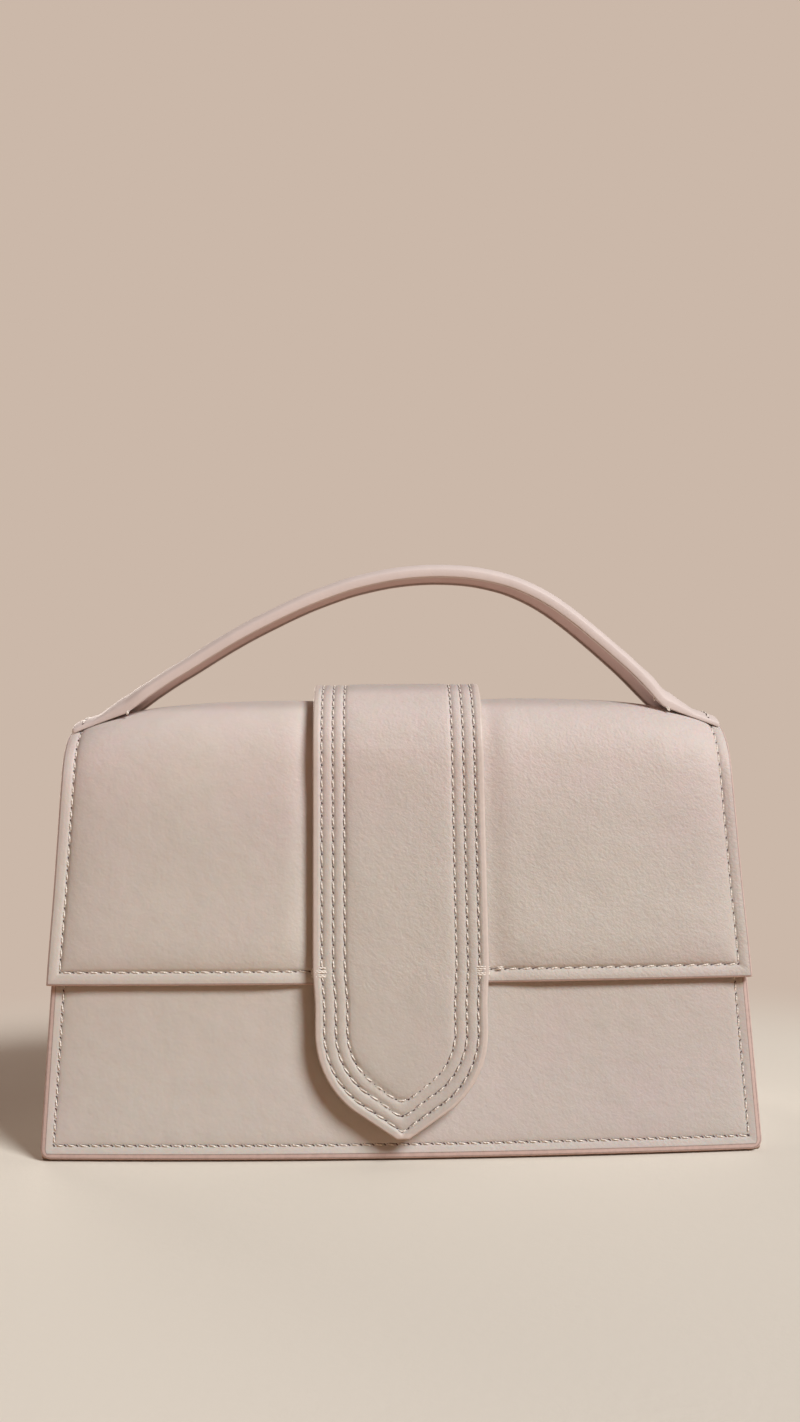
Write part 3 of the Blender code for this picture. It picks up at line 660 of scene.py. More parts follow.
def roll_point(x, share, lift):
    """A point over the roll at a share of its turn from front to back."""
    y, z, radius = roll_circle(x)
    turn = LEAN + share * (math.pi - 2 * LEAN)
    reach = radius + lift
    return Vector((x, y - reach * math.cos(turn), z + reach * math.sin(turn)))


def wall_low(side):
    """Height that places on a wall are measured from: the hem, or the yoke's lower edge."""
    return HEM_HEIGHT if side == FRONT else YOKE_LOW


def wall_run(x, side):
    """Length of a wall at x from the hem or the yoke's edge up to the roll."""
    return (roll_start(x) - wall_low(side)) / math.cos(LEAN)


def wall_place(x, row):
    """Place up a wall at x of a row, whose value is the place at the middle of the bag."""
    side, value = row
    full = wall_run(0, side)
    squeeze = wall_run(x, side) / full - 1
    return value * (1 + squeeze * smooth_step(0, full / 2, value))


def skin_point(x, row, lift):
    """A point over the skin: row is (wall, place up it) or (ROLL, share of its turn)."""
    side, value = row
    if side == ROLL:
        return roll_point(x, value, lift)
    return wall_point(x, side, wall_low(side) + wall_place(x, row) * math.cos(LEAN), lift)


def roll_ease(x, row):
    """How far leather is drawn in, so that it bends into the roll gradually."""
    side, value = row
    radius = roll_circle(x)[2] + FLAP_LIFT
    if side == ROLL:
        place = min(value, 1 - value) * (math.pi - 2 * LEAN) * radius
    else:
        place = wall_place(x, row) - wall_run(x, side)
    whole = ROLL_EASE ** 2 / (6 * radius)
    if place > 0:
        return whole - max(ROLL_EASE - place, 0) ** 3 / (12 * ROLL_EASE * radius)
    return max(ROLL_EASE + place, 0) ** 3 / (12 * ROLL_EASE * radius)


def stations(length, marks, fine, coarse):
    """Places from 0 to length, close together near the marks and further apart elsewhere."""
    zone = 5 * fine
    places = [0.0]
    while places[-1] < length:
        far = min(abs(places[-1] - mark) for mark in marks)
        places.append(places[-1] + fine + (coarse - fine) * smooth_step(zone, 3 * zone, far))
    return [place * length / places[-1] for place in places]


def shares_across(half, marks, fine, coarse):
    """Column shares from -1 to 1, close together at these distances from the edge."""
    inward = [half - mark for mark in marks]
    right = [place / half for place in stations(half, inward, fine, coarse)]
    return [-share for share in reversed(right[1:])] + right


def spread(half, count):
    """Even places from -half to half, with this many steps on each side of the middle."""
    return [half * (k / count - 1) for k in range(2 * count + 1)]


def beside(items, index):
    """The items before and after one; past an end, the end itself."""
    return items[max(index - 1, 0)], items[min(index + 1, len(items) - 1)]


def dent(distance, seam, width):
    """1 on a seam, falling off to both sides."""
    return math.exp(-((distance - seam) / width) ** 2)


def groove(distance, seam):
    """Depth of a seam's groove: a narrow channel under the thread in a wide shallow dip."""
    sizes = bpy.context.scene.bag_sizes
    narrow = dent(distance, seam, sizes.groove_width)
    return sizes.groove_depth * (0.85 * narrow + 0.35 * dent(distance, seam, DIP_WIDTH))


def bead(distance):
    """Height of the slightly raised rim between the edge and the seam."""
    return BEAD_HEIGHT * dent(distance, BEAD_PLACE, BEAD_WIDTH)


def swell(distance, reach):
    """0 at a seam, 1 well inside it."""
    return 1 - math.exp(-max(distance, 0) / reach)


def thick(name, outer, inner, radius, finishes, open_end=None, painted=0):
    """A thick sheet from two grids of points and a round painted edge between their borders.

    Finishes are those of the outer face, the crease beside its edge in darker paint as painted
    shade, the edge and the inner face. An open end has no edge there, because the next sheet goes
    on from it. The paint laps onto the outer face over some of its outermost cells, with a crease
    of darker paint beside it as painted shade.
    """
    rows, columns = len(outer), len(outer[0])
    left = [(i, 0) for i in reversed(range(rows))]
    right = [(i, columns - 1) for i in range(rows)]
    first = [(0, j) for j in range(columns)]
    last = [(rows - 1, j) for j in reversed(range(columns))]
    if open_end == "first":
        border = right + last[1:] + left[1:]
    elif open_end == "last":
        border = left + first[1:] + right[1:]
    else:
        border = first + right[1:] + last[1:] + left[1:-1]
    points = [point for row in outer for point in row] + [point for row in inner for point in row]
    faces, looks = [], []
    for i in range(rows - 1):
        for j in range(columns - 1):
            a, b = i * columns + j, (i + 1) * columns + j
            faces.append((a, a + 1, b + 1, b))
            a, b = a + rows * columns, b + rows * columns
            faces.append((a, b, b + 1, a + 1))
            depths = [j, columns - 2 - j]
            depths += [i] if open_end != "first" else []
            depths += [rows - 2 - i] if open_end != "last" else []
            depth = min(depths)
            looks += [2 if depth < painted else 1 if painted and depth == painted else 0, 3]
    rings = [[i * columns + j for i, j in border]]
    profile = edge_profile(border, outer, inner, radius, open_end is None)
    for ring in profile:
        rings.append(range(len(points), len(points) + len(ring)))
        points += ring
    rings.append([rows * columns + i * columns + j for i, j in border])
    count = len(border)
    for index, (ring, after) in enumerate(zip(rings, rings[1:])):
        for k in range(count if open_end is None else count - 1):
            n = (k + 1) % count
            faces.append((after[k], after[n], ring[n], ring[k]))
            looks.append(1 if index == 0 else 2)
    return mesh_piece(name, points, faces, finishes, looks)


def edge_profile(border, outer, inner, radius, closed, steps=4):
    """Rings of points round a sheet's border: over the upper corner and under the lower one."""
    rings = [[] for _ in range(2 * steps)]
    count = len(border)
    tops = [outer[i][j] for i, j in border]
    lows = [inner[i][j] for i, j in border]
    for k in range(count):
        before = tops[k - 1] if closed or k > 0 else tops[k]
        after = tops[(k + 1) % count] if closed or k < count - 1 else tops[k]
        into, out = (tops[k] - before).normalized(), (after - tops[k]).normalized()
        normal = (tops[k] - lows[k])
        depth = normal.length
        normal.normalize()
        round_by = min(radius, depth * 0.48)
        away = (into + out).cross(normal).normalized()
        bend = math.sqrt(max((1 + into.dot(out)) / 2, 0.5)) if into.length and out.length else 1
        away = away * min(1 / bend, 1.25)
        for step in range(steps):
            turn = math.pi / 2 * (1 - (step + 1) / steps)
            side, up = round_by * math.cos(turn), round_by * (1 - math.sin(turn))
            rings[step].append(tops[k] + away * side - normal * up)
            rings[2 * steps - 1 - step].append(lows[k] + away * side + normal * up)
    return rings


def mesh_piece(name, points, faces, finishes, looks):
    """A smooth mesh object in the scene, with a finish for each face."""
    data = bpy.data.meshes.new(name)
    data.from_pydata(points, [], faces)
    for finish in finishes:
        data.materials.append(bpy.data.materials[finish])
    data.polygons.foreach_set("material_index", looks)
    data.polygons.foreach_set("use_smooth", [True] * len(faces))
    data.validate()
    piece = bpy.data.objects.new(name, data)
    bpy.context.scene.collection.objects.link(piece)
    return piece


def dress(piece, body=None, nodes=()):
    """Rides a piece on its body, and hides the CAD nodes it stands for."""
    if body:
        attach(piece, body)
    if nodes:
        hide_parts(*nodes)


def over_hinge(piece, early=0.0):
    """Bakes a piece's transform into its mesh.

    Where the fold at the back starts, earlier by a share of its run, is worked out but not used.
    """
    run, below = HINGE_BEND
    start = wall_point(0, BACK, JOINTS["flap_hinge"].z - below, 0) - run * early
    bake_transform(piece)


def over_tab(piece):
    """Bakes a piece's transform into its mesh; the bend's ends below the bar tacks are worked out
    but not used.
    """
    start, end = (wall_point(0, FRONT, height, BAND_LIFT) for height in TAB_BEND)
    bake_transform(piece)


def over_strap(piece):
    """Bakes a piece's transform into its mesh."""
    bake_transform(piece)


class Seam:
    """A line of points and normals on leather, measured by its length."""

    def __init__(self, points, normals):
        self.points, self.normals = points, normals
        self.lengths = [0.0]
        for first, second in zip(points, points[1:]):
            self.lengths.append(self.lengths[-1] + (second - first).length)

    def at(self, place):
        """Point, normal and direction at a place along the seam."""
        place = min(max(place, 0), self.lengths[-1])
        index = next(i for i in range(len(self.points) - 1)
                     if place <= self.lengths[i + 1] or i == len(self.points) - 2)
        step = self.lengths[index + 1] - self.lengths[index]
        share = (place - self.lengths[index]) / step if step else 0
        point = self.points[index].lerp(self.points[index + 1], share)
        normal = self.normals[index].lerp(self.normals[index + 1], share).normalized()
        run = (self.points[index + 1] - self.points[index]).normalized()
        return point, normal, run


def skin_seam(places, spot, lift):
    """A seam through (x, row) places, where spot gives a point of the skin at a lift."""
    points = [spot(x, row, lift(x, row)) for x, row in places]
    normals = [(spot(x, row, lift(x, row) + GAP) - point).normalized()
               for (x, row), point in zip(places, points)]
    return Seam(points, normals)


class Needlework:
    """Collects stitches and their needle holes, and makes one mesh of them."""

    # A thread's sides and steps, and a hole's corners
    SIDES = 6
    STEPS = 6
    CORNERS = 8
    # Start and end of a stitch, how far they wander and where its painted shadow starts, as shares
    # of a step
    START, END = 0.19, 0.82
    WANDER = 0.03
    SHADOW_START = 0.14
    # A stitch's slant, and a hole's half length and half width, as shares of the thread's width
    SLANTS = (0.40, 0.80)
    HOLE_SIZES = (1.15, 0.60)
    HOLE_TURN = math.radians(40)
    HOLE_DEPTH = 0.0003

    def __init__(self, seed, pull=1.0):
        self.points, self.faces, self.looks = [], [], []
        self.pull = pull
        self.chance = random.Random(seed)
        self.width = bpy.context.scene.bag_sizes.thread_width

    def sew(self, seam, pitch, slant=1, shaded=(-1, 0, 0)):
        """Lockstitches along a seam, each slanted, with a painted shadow on its shaded side and a
        hole.
        """
        count = max(round(seam.lengths[-1] / pitch), 1)
        step = seam.lengths[-1] / count
        for index in range(count):
            start = (index + self.START + self.chance.uniform(-self.WANDER, self.WANDER)) * step
            end = (index + self.END + self.chance.uniform(-self.WANDER, self.WANDER)) * step
            self.stitch(seam, start, end, slant * self.width * self.chance.uniform(*self.SLANTS))
            # Painted shadow along the stitch's shaded side
            self.painted_shadow(seam, (index + self.SHADOW_START) * step, (index + 1) * step, Vector(shaded))
            self.hole(*seam.at(index * step), slant)
        self.hole(*seam.at(seam.lengths[-1]), slant)

    def bite(self):
        """How wide the painted shadows and the holes of the seam are: narrower where it pulls the
        leather less.
        """
        return 0.5 + 0.5 * self.pull

    def stitch(self, seam, start, end, slant):
        """One stitch: a bent thread that comes up, lies over the leather and goes down."""
        path = []
        for k in range(self.STEPS + 1):
            share = k / self.STEPS
            point, normal, run = seam.at(start + (end - start) * share)
            side = run.cross(normal)
            along = 2 * share - 1
            rise = self.width * (1.02 * (1 - along ** 4) - 0.50)
            sway = slant * (0.35 * along + 0.65 * along ** 3)
            path.append((point + side * sway + normal * rise, normal, side))
        self.tube(path, self.width / 2)

    def tube(self, path, radius):
        """A closed tube of thread along a path of (point, normal, side)."""
        base = len(self.points)
        for k, (point, normal, side) in enumerate(path):
            girth = radius * (0.72 if k in (0, len(path) - 1) else 1.0)
            for s in range(self.SIDES):
                turn = 2 * math.pi * s / self.SIDES
                self.points.append(point + side * girth * math.cos(turn)
                                   + normal * girth * 0.85 * math.sin(turn))
        for k in range(len(path) - 1):
            for s in range(self.SIDES):
                a, b = base + k * self.SIDES + s, base + k * self.SIDES + (s + 1) % self.SIDES
                self.faces.append((a, b, b + self.SIDES, a + self.SIDES))
                self.looks.append(0)
        last = base + (len(path) - 1) * self.SIDES
        self.faces.append(tuple(base + s for s in reversed(range(self.SIDES))))
        self.faces.append(tuple(last + s for s in range(self.SIDES)))
        self.looks += [0, 0]

    def painted_shadow(self, seam, start, end, shaded, steps=5):
        """A painted shadow: a dark sliver laid on the leather along a stitch's shaded side and
        under its end.
        """
        sizes = bpy.context.scene.bag_sizes
        base = len(self.points)
        turned = 1
        for k in range(steps + 1):
            share = k / steps
            point, normal, run = seam.at(start + (end - start) * share)
            side = run.cross(normal)
            turned = -1 if side.dot(shaded) < 0 else 1
            middle = self.width * (0.60 - 0.65 * share ** 4)
            half = self.width * 0.30 * self.bite() * math.sin(math.pi * (0.1 + 0.8 * share))
            for out in (middle + half, middle - half):
                rise = 0.9 * self.pull * sizes.groove_depth
                rise *= 1 - math.exp(-(out / sizes.groove_width) ** 2)
                self.points.append(point + side * (out * turned) + normal * (rise + 0.00006))
        for k in range(base, base + 2 * steps, 2):
            face = (k, k + 2, k + 3, k + 1)
            self.faces.append(face if turned > 0 else tuple(reversed(face)))
            self.looks.append(1)

    def hole(self, point, normal, run, slant):
        """A needle hole, seen as a dark slanted slot in the leather, its colour painted shade."""
        side = run.cross(normal)
        turn = self.HOLE_TURN * slant
        half_long, half_wide = (self.width * share for share in self.HOLE_SIZES)
        long = (run * math.cos(turn) + side * math.sin(turn)) * half_long
        wide = (side * math.cos(turn) - run * math.sin(turn)) * half_wide * self.bite()
        base = len(self.points)
        for k in range(self.CORNERS):
            angle = 2 * math.pi * k / self.CORNERS
            self.points.append(point + long * math.cos(angle) + wide * math.sin(angle)
                               + normal * 0.00010)
        self.points.append(point - normal * self.HOLE_DEPTH)
        around = list(range(base, base + self.CORNERS))
        if long.cross(wide).dot(normal) < 0:
            around.reverse()
        self.faces.append(tuple(around))
        self.looks.append(1)
        for k in range(self.CORNERS):
            self.faces.append((around[(k + 1) % self.CORNERS], around[k], base + self.CORNERS))
            self.looks.append(1)

    def wrap(self, path, count, step, fan=0.0, girth=0.52):
        """Bar tack: threads side by side over a path, each moved on by a step, and fanned out."""
        last = len(path) - 1
        for k in range(count):
            drift = step * (k - (count - 1) / 2 + self.chance.uniform(-0.18, 0.18))
            slope = step * self.chance.uniform(-0.7, 0.7)
            lift = self.width * self.chance.uniform(0.20, 0.75)
            self.tube([(point + drift * (1 + fan * i / last) + slope * (i / last)
                        + normal * lift, normal, side)
                       for i, (point, normal, side) in enumerate(path)], self.width * girth)

    def build(self, name):
        """The stitches as one piece."""
        return mesh_piece(name, self.points, self.faces, ("thread", "needle_hole"), self.looks)


def panel_half(height, inset=0.0):
    """Half width of a wall panel at a height, with its round bottom corners."""
    corner = max(PANEL_CORNER - inset, 0.0001)
    above = min(max(height - PANEL_FOOT - inset, 0), corner)
    cut = corner - math.sqrt(max(corner ** 2 - (corner - above) ** 2, 0))
    return body_half(height) - inset - cut


def panel_margin(x, height):
    """Distances of a wall panel's point from its side and its foot."""
    side = body_half(height) - abs(x)
    foot = (height - PANEL_FOOT) / math.cos(LEAN)
    return side, foot


def panel_lift(side_of_bag):
    """Lift of a wall's leather at x and a height: a seam round it and soft padding inside."""
    sizes = bpy.context.scene.bag_sizes

    def lift(x, height):
        side, foot = panel_margin(x, height)
        seam = min(side, foot)
        full = swell(side - sizes.panel_seam, sizes.puff_reach)
        full *= swell(foot - sizes.panel_seam, sizes.puff_reach)
        top = swell(WALL_TOP[side_of_bag] - height, sizes.puff_reach)
        place = Vector((x, side_of_bag * 0.04, height))
        return (sizes.panel_puff * full * top + bead(seam)
                - WALL_PULL * groove(seam, sizes.panel_seam)
                + ripple(place, *WALL_RIPPLE) * full)
    return lift


def wall_grid(side_of_bag, heights, shares, half, lift):
    """A grid of points over a wall, ordered so that its face looks outward."""
    ordered = shares if side_of_bag == FRONT else list(reversed(shares))
    rows = [[(share * half(height), height) for share in ordered] for height in heights]
    return [[wall_point(x, side_of_bag, height, lift(x, height)) for x, height in row]
            for row in rows]


def add_wall(side_of_bag, word):
    """Leather of the front or back wall, and its seam."""
    sizes = bpy.context.scene.bag_sizes
    rim, seam = sizes.rim, sizes.panel_seam
    low, top = PANEL_FOOT + rim, WALL_TOP[side_of_bag] - rim
    heights = [low + place for place in stations(top - low, (0, seam, top - low), *WALL_CELLS)]
    shares = shares_across(BODY_WIDTH / 2, (0, seam), *WALL_CELLS_ACROSS)
    lift = panel_lift(side_of_bag)

    def half(height):
        return panel_half(height, rim)

    outer = wall_grid(side_of_bag, heights, shares, half, lift)
    inner = wall_grid(side_of_bag, heights, shares, half, lambda x, height: -WALL_LEATHER)
    panel = thick(word + "_panel_leather", outer, inner, rim, LINED, painted=3)
    dress(panel, "body", (word + "_panel",))

    needle = Needlework(word + " panel", WALL_PULL)
    foot = PANEL_FOOT + seam * math.cos(LEAN)
    climb = [foot + (top - foot) * k / 60 for k in range(61)]
    for side in (LEFT, RIGHT):
        places = [(side * (body_half(height) - seam), height) for height in climb]
        needle.sew(wall_seam(side_of_bag, places, lift), sizes.panel_pitch, side * -side_of_bag,
                   (-side, 0, 0))
    reach = body_half(foot) - seam
    places = [(x, foot) for x in spread(reach, 60)]
    needle.sew(wall_seam(side_of_bag, places, lift), sizes.panel_pitch, -side_of_bag, (0, 0, 1))
    dress(needle.build(word + "_panel_stitches"), "body")


def wall_seam(side_of_bag, places, lift):
    """A seam through (x, height) places of a wall."""
    return skin_seam(places, lambda x, height, up: wall_point(x, side_of_bag, height, up), lift)


def add_facing(side_of_bag, word):
    """Leather binding over the top of a wall's board and lining, sewn on the inside."""
    sizes = bpy.context.scene.bag_sizes
    top = WALL_TOP[side_of_bag] - FACING_DROP
    radius = (FACING_OUTER - FACING_INNER) / 2
    middle = (FACING_OUTER + FACING_INNER) / 2
    path = [(FACING_OUTER, top - FACING_LAP * (1 - k / 3)) for k in range(3)]
    path += [(middle + radius * math.cos(turn), top + radius * math.sin(turn))
             for turn in (math.pi * k / 12 for k in range(13))]
    path += [(FACING_INNER, top - FACING_DEPTH * k / 12) for k in range(1, 13)]
    shares = spread(1, 40)
    if side_of_bag == BACK:
        shares.reverse()
    inward = []
    for index, (lift, height) in enumerate(path):
        before, after = beside(path, index)
        run = Vector((after[0] - before[0], after[1] - before[1])).normalized()
        inward.append((lift - run.y * FACING_LEATHER, height + run.x * FACING_LEATHER))

    def lay(rows):
        return [[wall_point(share * (body_half(height) - WALL_LINING_INSET), side_of_bag, height,
                            lift) for share in shares] for lift, height in rows]

    piece = thick(word + "_facing", lay(path), lay(inward), FACING_ROUND,
                  ("facing_leather", "edge_crease", "edge_paint", "facing_leather"))
    dress(piece, "body")
    needle = Needlework(word + " facing", pull=0.0)
    height = top - FACING_DEPTH + FACING_SEAM
    reach = body_half(height) - WALL_LINING_INSET - FACING_SEAM_INSET
    places = [(x, height) for x in spread(reach, 60)]
    points = [wall_point(x, side_of_bag, z, FACING_INNER) for x, z in places]
    normals = [Vector((0, -side_of_bag, 0))] * len(points)
    needle.sew(Seam(points, normals), sizes.stitch_pitch)
    dress(needle.build(word + "_facing_stitches"), "body")


def margin_depth(x, side, height):
    """Distance from the middle plane to the margins turned in behind the walls."""
    behind = (WALL_LEATHER + GAP) / math.cos(LEAN)
    return foot_depth(x, side) - height * math.tan(LEAN) - behind


def inset_path(points, axis, distance):
    """A path in the plane across an axis, moved by a distance to its left."""
    moved = []
    for index, point in enumerate(points):
        before, after = beside(points, index)
        run = (after - before).normalized()
        moved.append(point + axis.cross(run) * distance)
    return moved


def fold_in(along):
    """Share of the gusset's fold at a share of its half depth from the middle."""
    soft = math.sqrt(along ** 2 + PLEAT_ROUND ** 2) - PLEAT_ROUND * (1 - abs(along))
    return max(1 - soft, 0) ** PLEAT_SHAPE


def quarter_turn():
    """Angles from 0 to a right angle, along the fold of a margin."""
    return [math.pi / 2 * k / 5 for k in range(6)]


def gusset_path(height):
    """Outer face of the right gusset at a height: margin, fold and margin, from front to back."""
    outer = body_half(height) - GUSSET_EDGE
    inner = outer - MARGIN_WIDTH
    pleat = PLEAT_FOOT + (PLEAT_DEPTH - PLEAT_FOOT) * (height / GUSSET_TOP) ** PLEAT_POWER
    halves = []
    for side in (FRONT, BACK):
        reach = margin_depth(outer, side, height)
        half = [(inner + (MARGIN_WIDTH - MARGIN_FOLD) * k / 4, margin_depth(inner, side, height))
                for k in range(4)]
        half += [(outer - MARGIN_FOLD * (1 - math.sin(turn)),
                  reach - MARGIN_FOLD * (1 - math.cos(turn))) for turn in quarter_turn()]
        half += [(outer - pleat * fold_in(along), along * (reach - MARGIN_FOLD))
                 for along in (1 - k / 16 for k in range(1, 16))]
        halves.append([Vector((x, side * depth, height)) for x, depth in half])
    front, back = halves
    return front + [Vector((outer - pleat * fold_in(0), 0, height))] + back[::-1]


def gusset_grid(side, low, inset, trim=0):
    """Rows of a gusset's points at an inset from its outer face."""
    rows = []
    for k in range(37):
        height = low + (GUSSET_TOP - GUSSET_TRIM - low) * k / 36
        path = inset_path(gusset_path(height), Vector((0, 0, 1)), inset)
        path = path[trim:len(path) - trim]
        if side == LEFT:
            path = [Vector((-point.x, point.y, point.z)) for point in reversed(path)]
        rows.append([point + Vector((ripple(point, *GUSSET_RIPPLE, side), 0, 0))
                     for point in path])
    return rows


def add_gusset(side, word):
    """A folded side piece with painted top edge, and its suede lining."""
    foot = GUSSET_LEATHER + GAP + MARGIN_ROUND
    leather_piece = thick("gusset_" + word + "_leather", gusset_grid(side, foot, 0),
                          gusset_grid(side, foot, GUSSET_LEATHER), MARGIN_ROUND, LINED)
    dress(leather_piece, "body", ("gusset_" + word,))
    inset = GUSSET_LEATHER + GAP
    lining = thick("gusset_" + word + "_lining", gusset_grid(side, WALL_LINING_FOOT, inset, 2),
                   gusset_grid(side, WALL_LINING_FOOT, inset + LINING, 2), LINING_ROUND,
                   ALL_SUEDE)
    dress(lining, "body", ("gusset_lining_" + word,))


def base_path(x):
    """Outer face of the base at x: margin, floor and margin, from back to front."""
    halves = []
    for side in (BACK, FRONT):
        reach = margin_depth(x, side, 0)
        half = [(reach - height * math.tan(LEAN), height)
                for height in (MARGIN_WIDTH, MARGIN_WIDTH - 0.0018, MARGIN_WIDTH - 0.0036)]
        half += [(reach - MARGIN_FOLD * (1 - math.cos(turn)), MARGIN_FOLD * (1 - math.sin(turn)))
                 for turn in quarter_turn()]
        halves.append([Vector((x, side * depth, height)) for depth, height in half])
    back, front = halves
    start, run = back[-1].y, front[-1].y - back[-1].y
    return back + [Vector((x, start + run * k / 20, 0)) for k in range(1, 20)] + front[::-1]


def add_base():
    """Base leather with its turned up margins, and the suede lining on the board."""
    half = body_half(0) - GUSSET_EDGE - MARGIN_ROUND
    xs = spread(half, 40)
    outer = [list(row) for row in zip(*(base_path(x) for x in xs))]
    inner = [list(row) for row in
             zip(*(inset_path(base_path(x), Vector((-1, 0, 0)), GUSSET_LEATHER) for x in xs))]
    base = thick("base_leather", outer, inner, MARGIN_ROUND, LINED)
    dress(base, "body", ("base_panel",))
    reach = half - BASE_LINING_INSET

    def flat(height):
        rows = []
        for k in range(25):
            row = []
            for x in spread(reach, 40):
                front, back = (margin_depth(x, side, height) - 0.0033 for side in (FRONT, BACK))
                y = -front + (front + back) * k / 24
                wave = ripple(Vector((x, y, 0)), *BASE_RIPPLE, 4.0)
                row.append(Vector((x, y, height + wave)))
            rows.append(row)
        return rows

    lining = thick("base_lining_suede", flat(BASE_LINING_HEIGHT),
                   flat(BASE_LINING_HEIGHT - LINING), LINING_ROUND, ALL_SUEDE)
    dress(lining, "body", ("base_lining",))


def add_wall_lining(side_of_bag, word):
    """Suede on the inside of a wall."""
    top = WALL_TOP[side_of_bag] - LINING_DROP
    heights = [WALL_LINING_FOOT + (top - WALL_LINING_FOOT) * k / 40 for k in range(41)]
    shares = spread(1, 40)

    def half(height):
        return body_half(height) - WALL_LINING_INSET - LINING_ROUND

    def back(x, height):
        bulge = ripple(Vector((x, height, side_of_bag)), *LINING_RIPPLE)
        edge = swell(half(height) - abs(x), LINING_REACH)
        edge *= swell(height - WALL_LINING_FOOT, LINING_REACH)
        edge *= swell(top - height, 2 * LINING_REACH)
        return WALL_LINING_LIFT - LINING - abs(bulge) * edge

    inside = wall_grid(side_of_bag, heights, shares, half, lambda x, height: WALL_LINING_LIFT)
    seen = wall_grid(side_of_bag, heights, shares, half, back)
    piece = thick(word + "_lining_suede", inside, seen, LINING_ROUND, ALL_SUEDE)
    dress(piece, "body", (word + "_lining",))


def flap_half(row):
    """Half width of the flap or the yoke at a row."""
    side, value = row
    if side == ROLL:
        height = SHOULDER_HEIGHT
    else:
        share = value / wall_run(0, side)
        height = wall_low(side) + share * (SHOULDER_HEIGHT - wall_low(side))
    return body_half(height) + FLAP_OVERHANG


def flap_margin(x, row):
    """Distance of the flap's point from its side, and from the hem or the yoke's lower edge."""
    side = flap_half(row) - abs(x)
    along = wall_place(x, row) if row[0] != ROLL else 1.0
    return side, along


def flap_spring(x, row):
    """How far the flap springs off the front wall towards its hem, beside the band."""
    if row[0] != FRONT:
        return 0.0
    low = 1 - smooth_step(*FLAP_SPRING_PLACES, wall_place(x, row))
    return FLAP_SPRING * low * smooth_step(BAND_HALF, BAND_HALF + FLAP_SPRING_REACH, abs(x))


def flap_lift(x, row):
    """Lift of the flap's outer face: a seam round it, soft padding inside, flat under the band."""
    sizes = bpy.context.scene.bag_sizes
    side, along = flap_margin(x, row)
    full = swell(side - sizes.flap_seam, sizes.puff_reach)
    full *= swell(along - sizes.flap_seam, sizes.puff_reach)
    clear = smooth_step(BAND_HALF, BAND_HALF + FLAP_CLEAR_REACH, abs(x))
    if row[0] == ROLL:
        clear *= 1 - (1 - FLAP_BACK_PUFF) * smooth_step(0.15, 0.5, row[1])
    elif row[0] == BACK:
        clear *= FLAP_BACK_PUFF
    edge = min(side, along)
    place = skin_point(x, row, 0)
    return (FLAP_LIFT + flap_spring(x, row) + sizes.flap_puff * full * clear + bead(edge)
            - groove(edge, sizes.flap_seam) - roll_ease(x, row)
            + ripple(place, *FLAP_RIPPLE) * full * clear)


def flap_under(x, row):
    """Lift of the flap's lining."""
    return GAP + flap_spring(x, row) - roll_ease(x, row)


def skin_rows(front_from, back_to, fine, coarse, front_marks=(), back_marks=()):
    """Rows from a place on the front wall, over the roll, to a place on the back wall."""
    run = wall_run(0, FRONT) - front_from
    marks = [mark - front_from for mark in front_marks] or [run]
    rows = [(FRONT, front_from + place) for place in stations(run, marks, fine, coarse)]
    turns = 36
    rows += [(ROLL, k / turns) for k in range(1, turns + 1)]
    down = wall_run(0, BACK) - back_to
    marks = [down - (mark - back_to) for mark in back_marks] or [down]
    rows += [(BACK, wall_run(0, BACK) - place)
             for place in stations(down, marks, fine, coarse)[1:]]
    return rows


def skin_grid(rows, shares, half, lift):
    """A grid of points over the skin."""
    return [[skin_point(share * half(row), row, lift(share * half(row), row))
             for share in shares] for row in rows]


def add_flap():
    """The flap and the yoke, one leather that folds at the back, with its lining and seams."""
    sizes = bpy.context.scene.bag_sizes
    rim, seam = sizes.rim, sizes.flap_seam
    rows = skin_rows(rim, rim, *FLAP_CELLS, (rim, seam), (rim, seam))
    shares = shares_across(BODY_WIDTH / 2, (0, seam), *FLAP_CELLS)

    def half(row):
        return flap_half(row) - rim

    piece = thick("flap_leather_shell", skin_grid(rows, shares, half, flap_lift),
                  skin_grid(rows, shares, half, flap_under), rim, LINED)
    over_hinge(piece)
    dress(piece, nodes=("flap_leather", "flap_lining", "back_yoke"))

    needle = Needlework("flap")
    climb = skin_rows(seam, seam, *SEAM_CELLS)
    for side in (LEFT, RIGHT):
        places = [(side * (flap_half(row) - seam), row) for row in climb]
        needle.sew(skin_seam(places, skin_point, flap_lift), sizes.stitch_pitch, side,
                   (-side, 0, 0))
        for row in ((FRONT, seam), (BACK, seam)):
            stop = BAND_HALF + BAND_FLARE + HEM_SEAM_STOP
            reach = flap_half(row) - seam
            places = [(side * (reach + (stop - reach) * k / 50), row) for k in range(51)]
            needle.sew(skin_seam(places, skin_point, flap_lift), sizes.stitch_pitch * 1.06,
                       side * row[0], (0, 0, 1))
    piece = needle.build("flap_stitches")
    over_hinge(piece)
    dress(piece)


def band_side(height):
    """Half width of the band at a height: a little more above the hem."""
    return BAND_HALF + BAND_FLARE * smooth_step(*BAND_FLARE_HEIGHTS, height)


def tab_half(height, inset=0.0):
    """Half width of the tab at a height: straight, then round, then straight to a blunt tip."""
    drop = TAB_SHOULDER - height
    radius = TAB_RADIUS - inset
    middle = BAND_HALF - TAB_RADIUS
    if drop <= 0:
        return band_side(height) - inset
    if drop <= radius * math.sin(TAB_TURN):
        return middle + math.sqrt(radius ** 2 - drop ** 2)
    inward, run = tab_tip_edge()
    foot = Vector((TAB_TIP_HALF, TAB_TIP)) + inward * inset
    return foot.x + (height - foot.y) / run.y * run.x


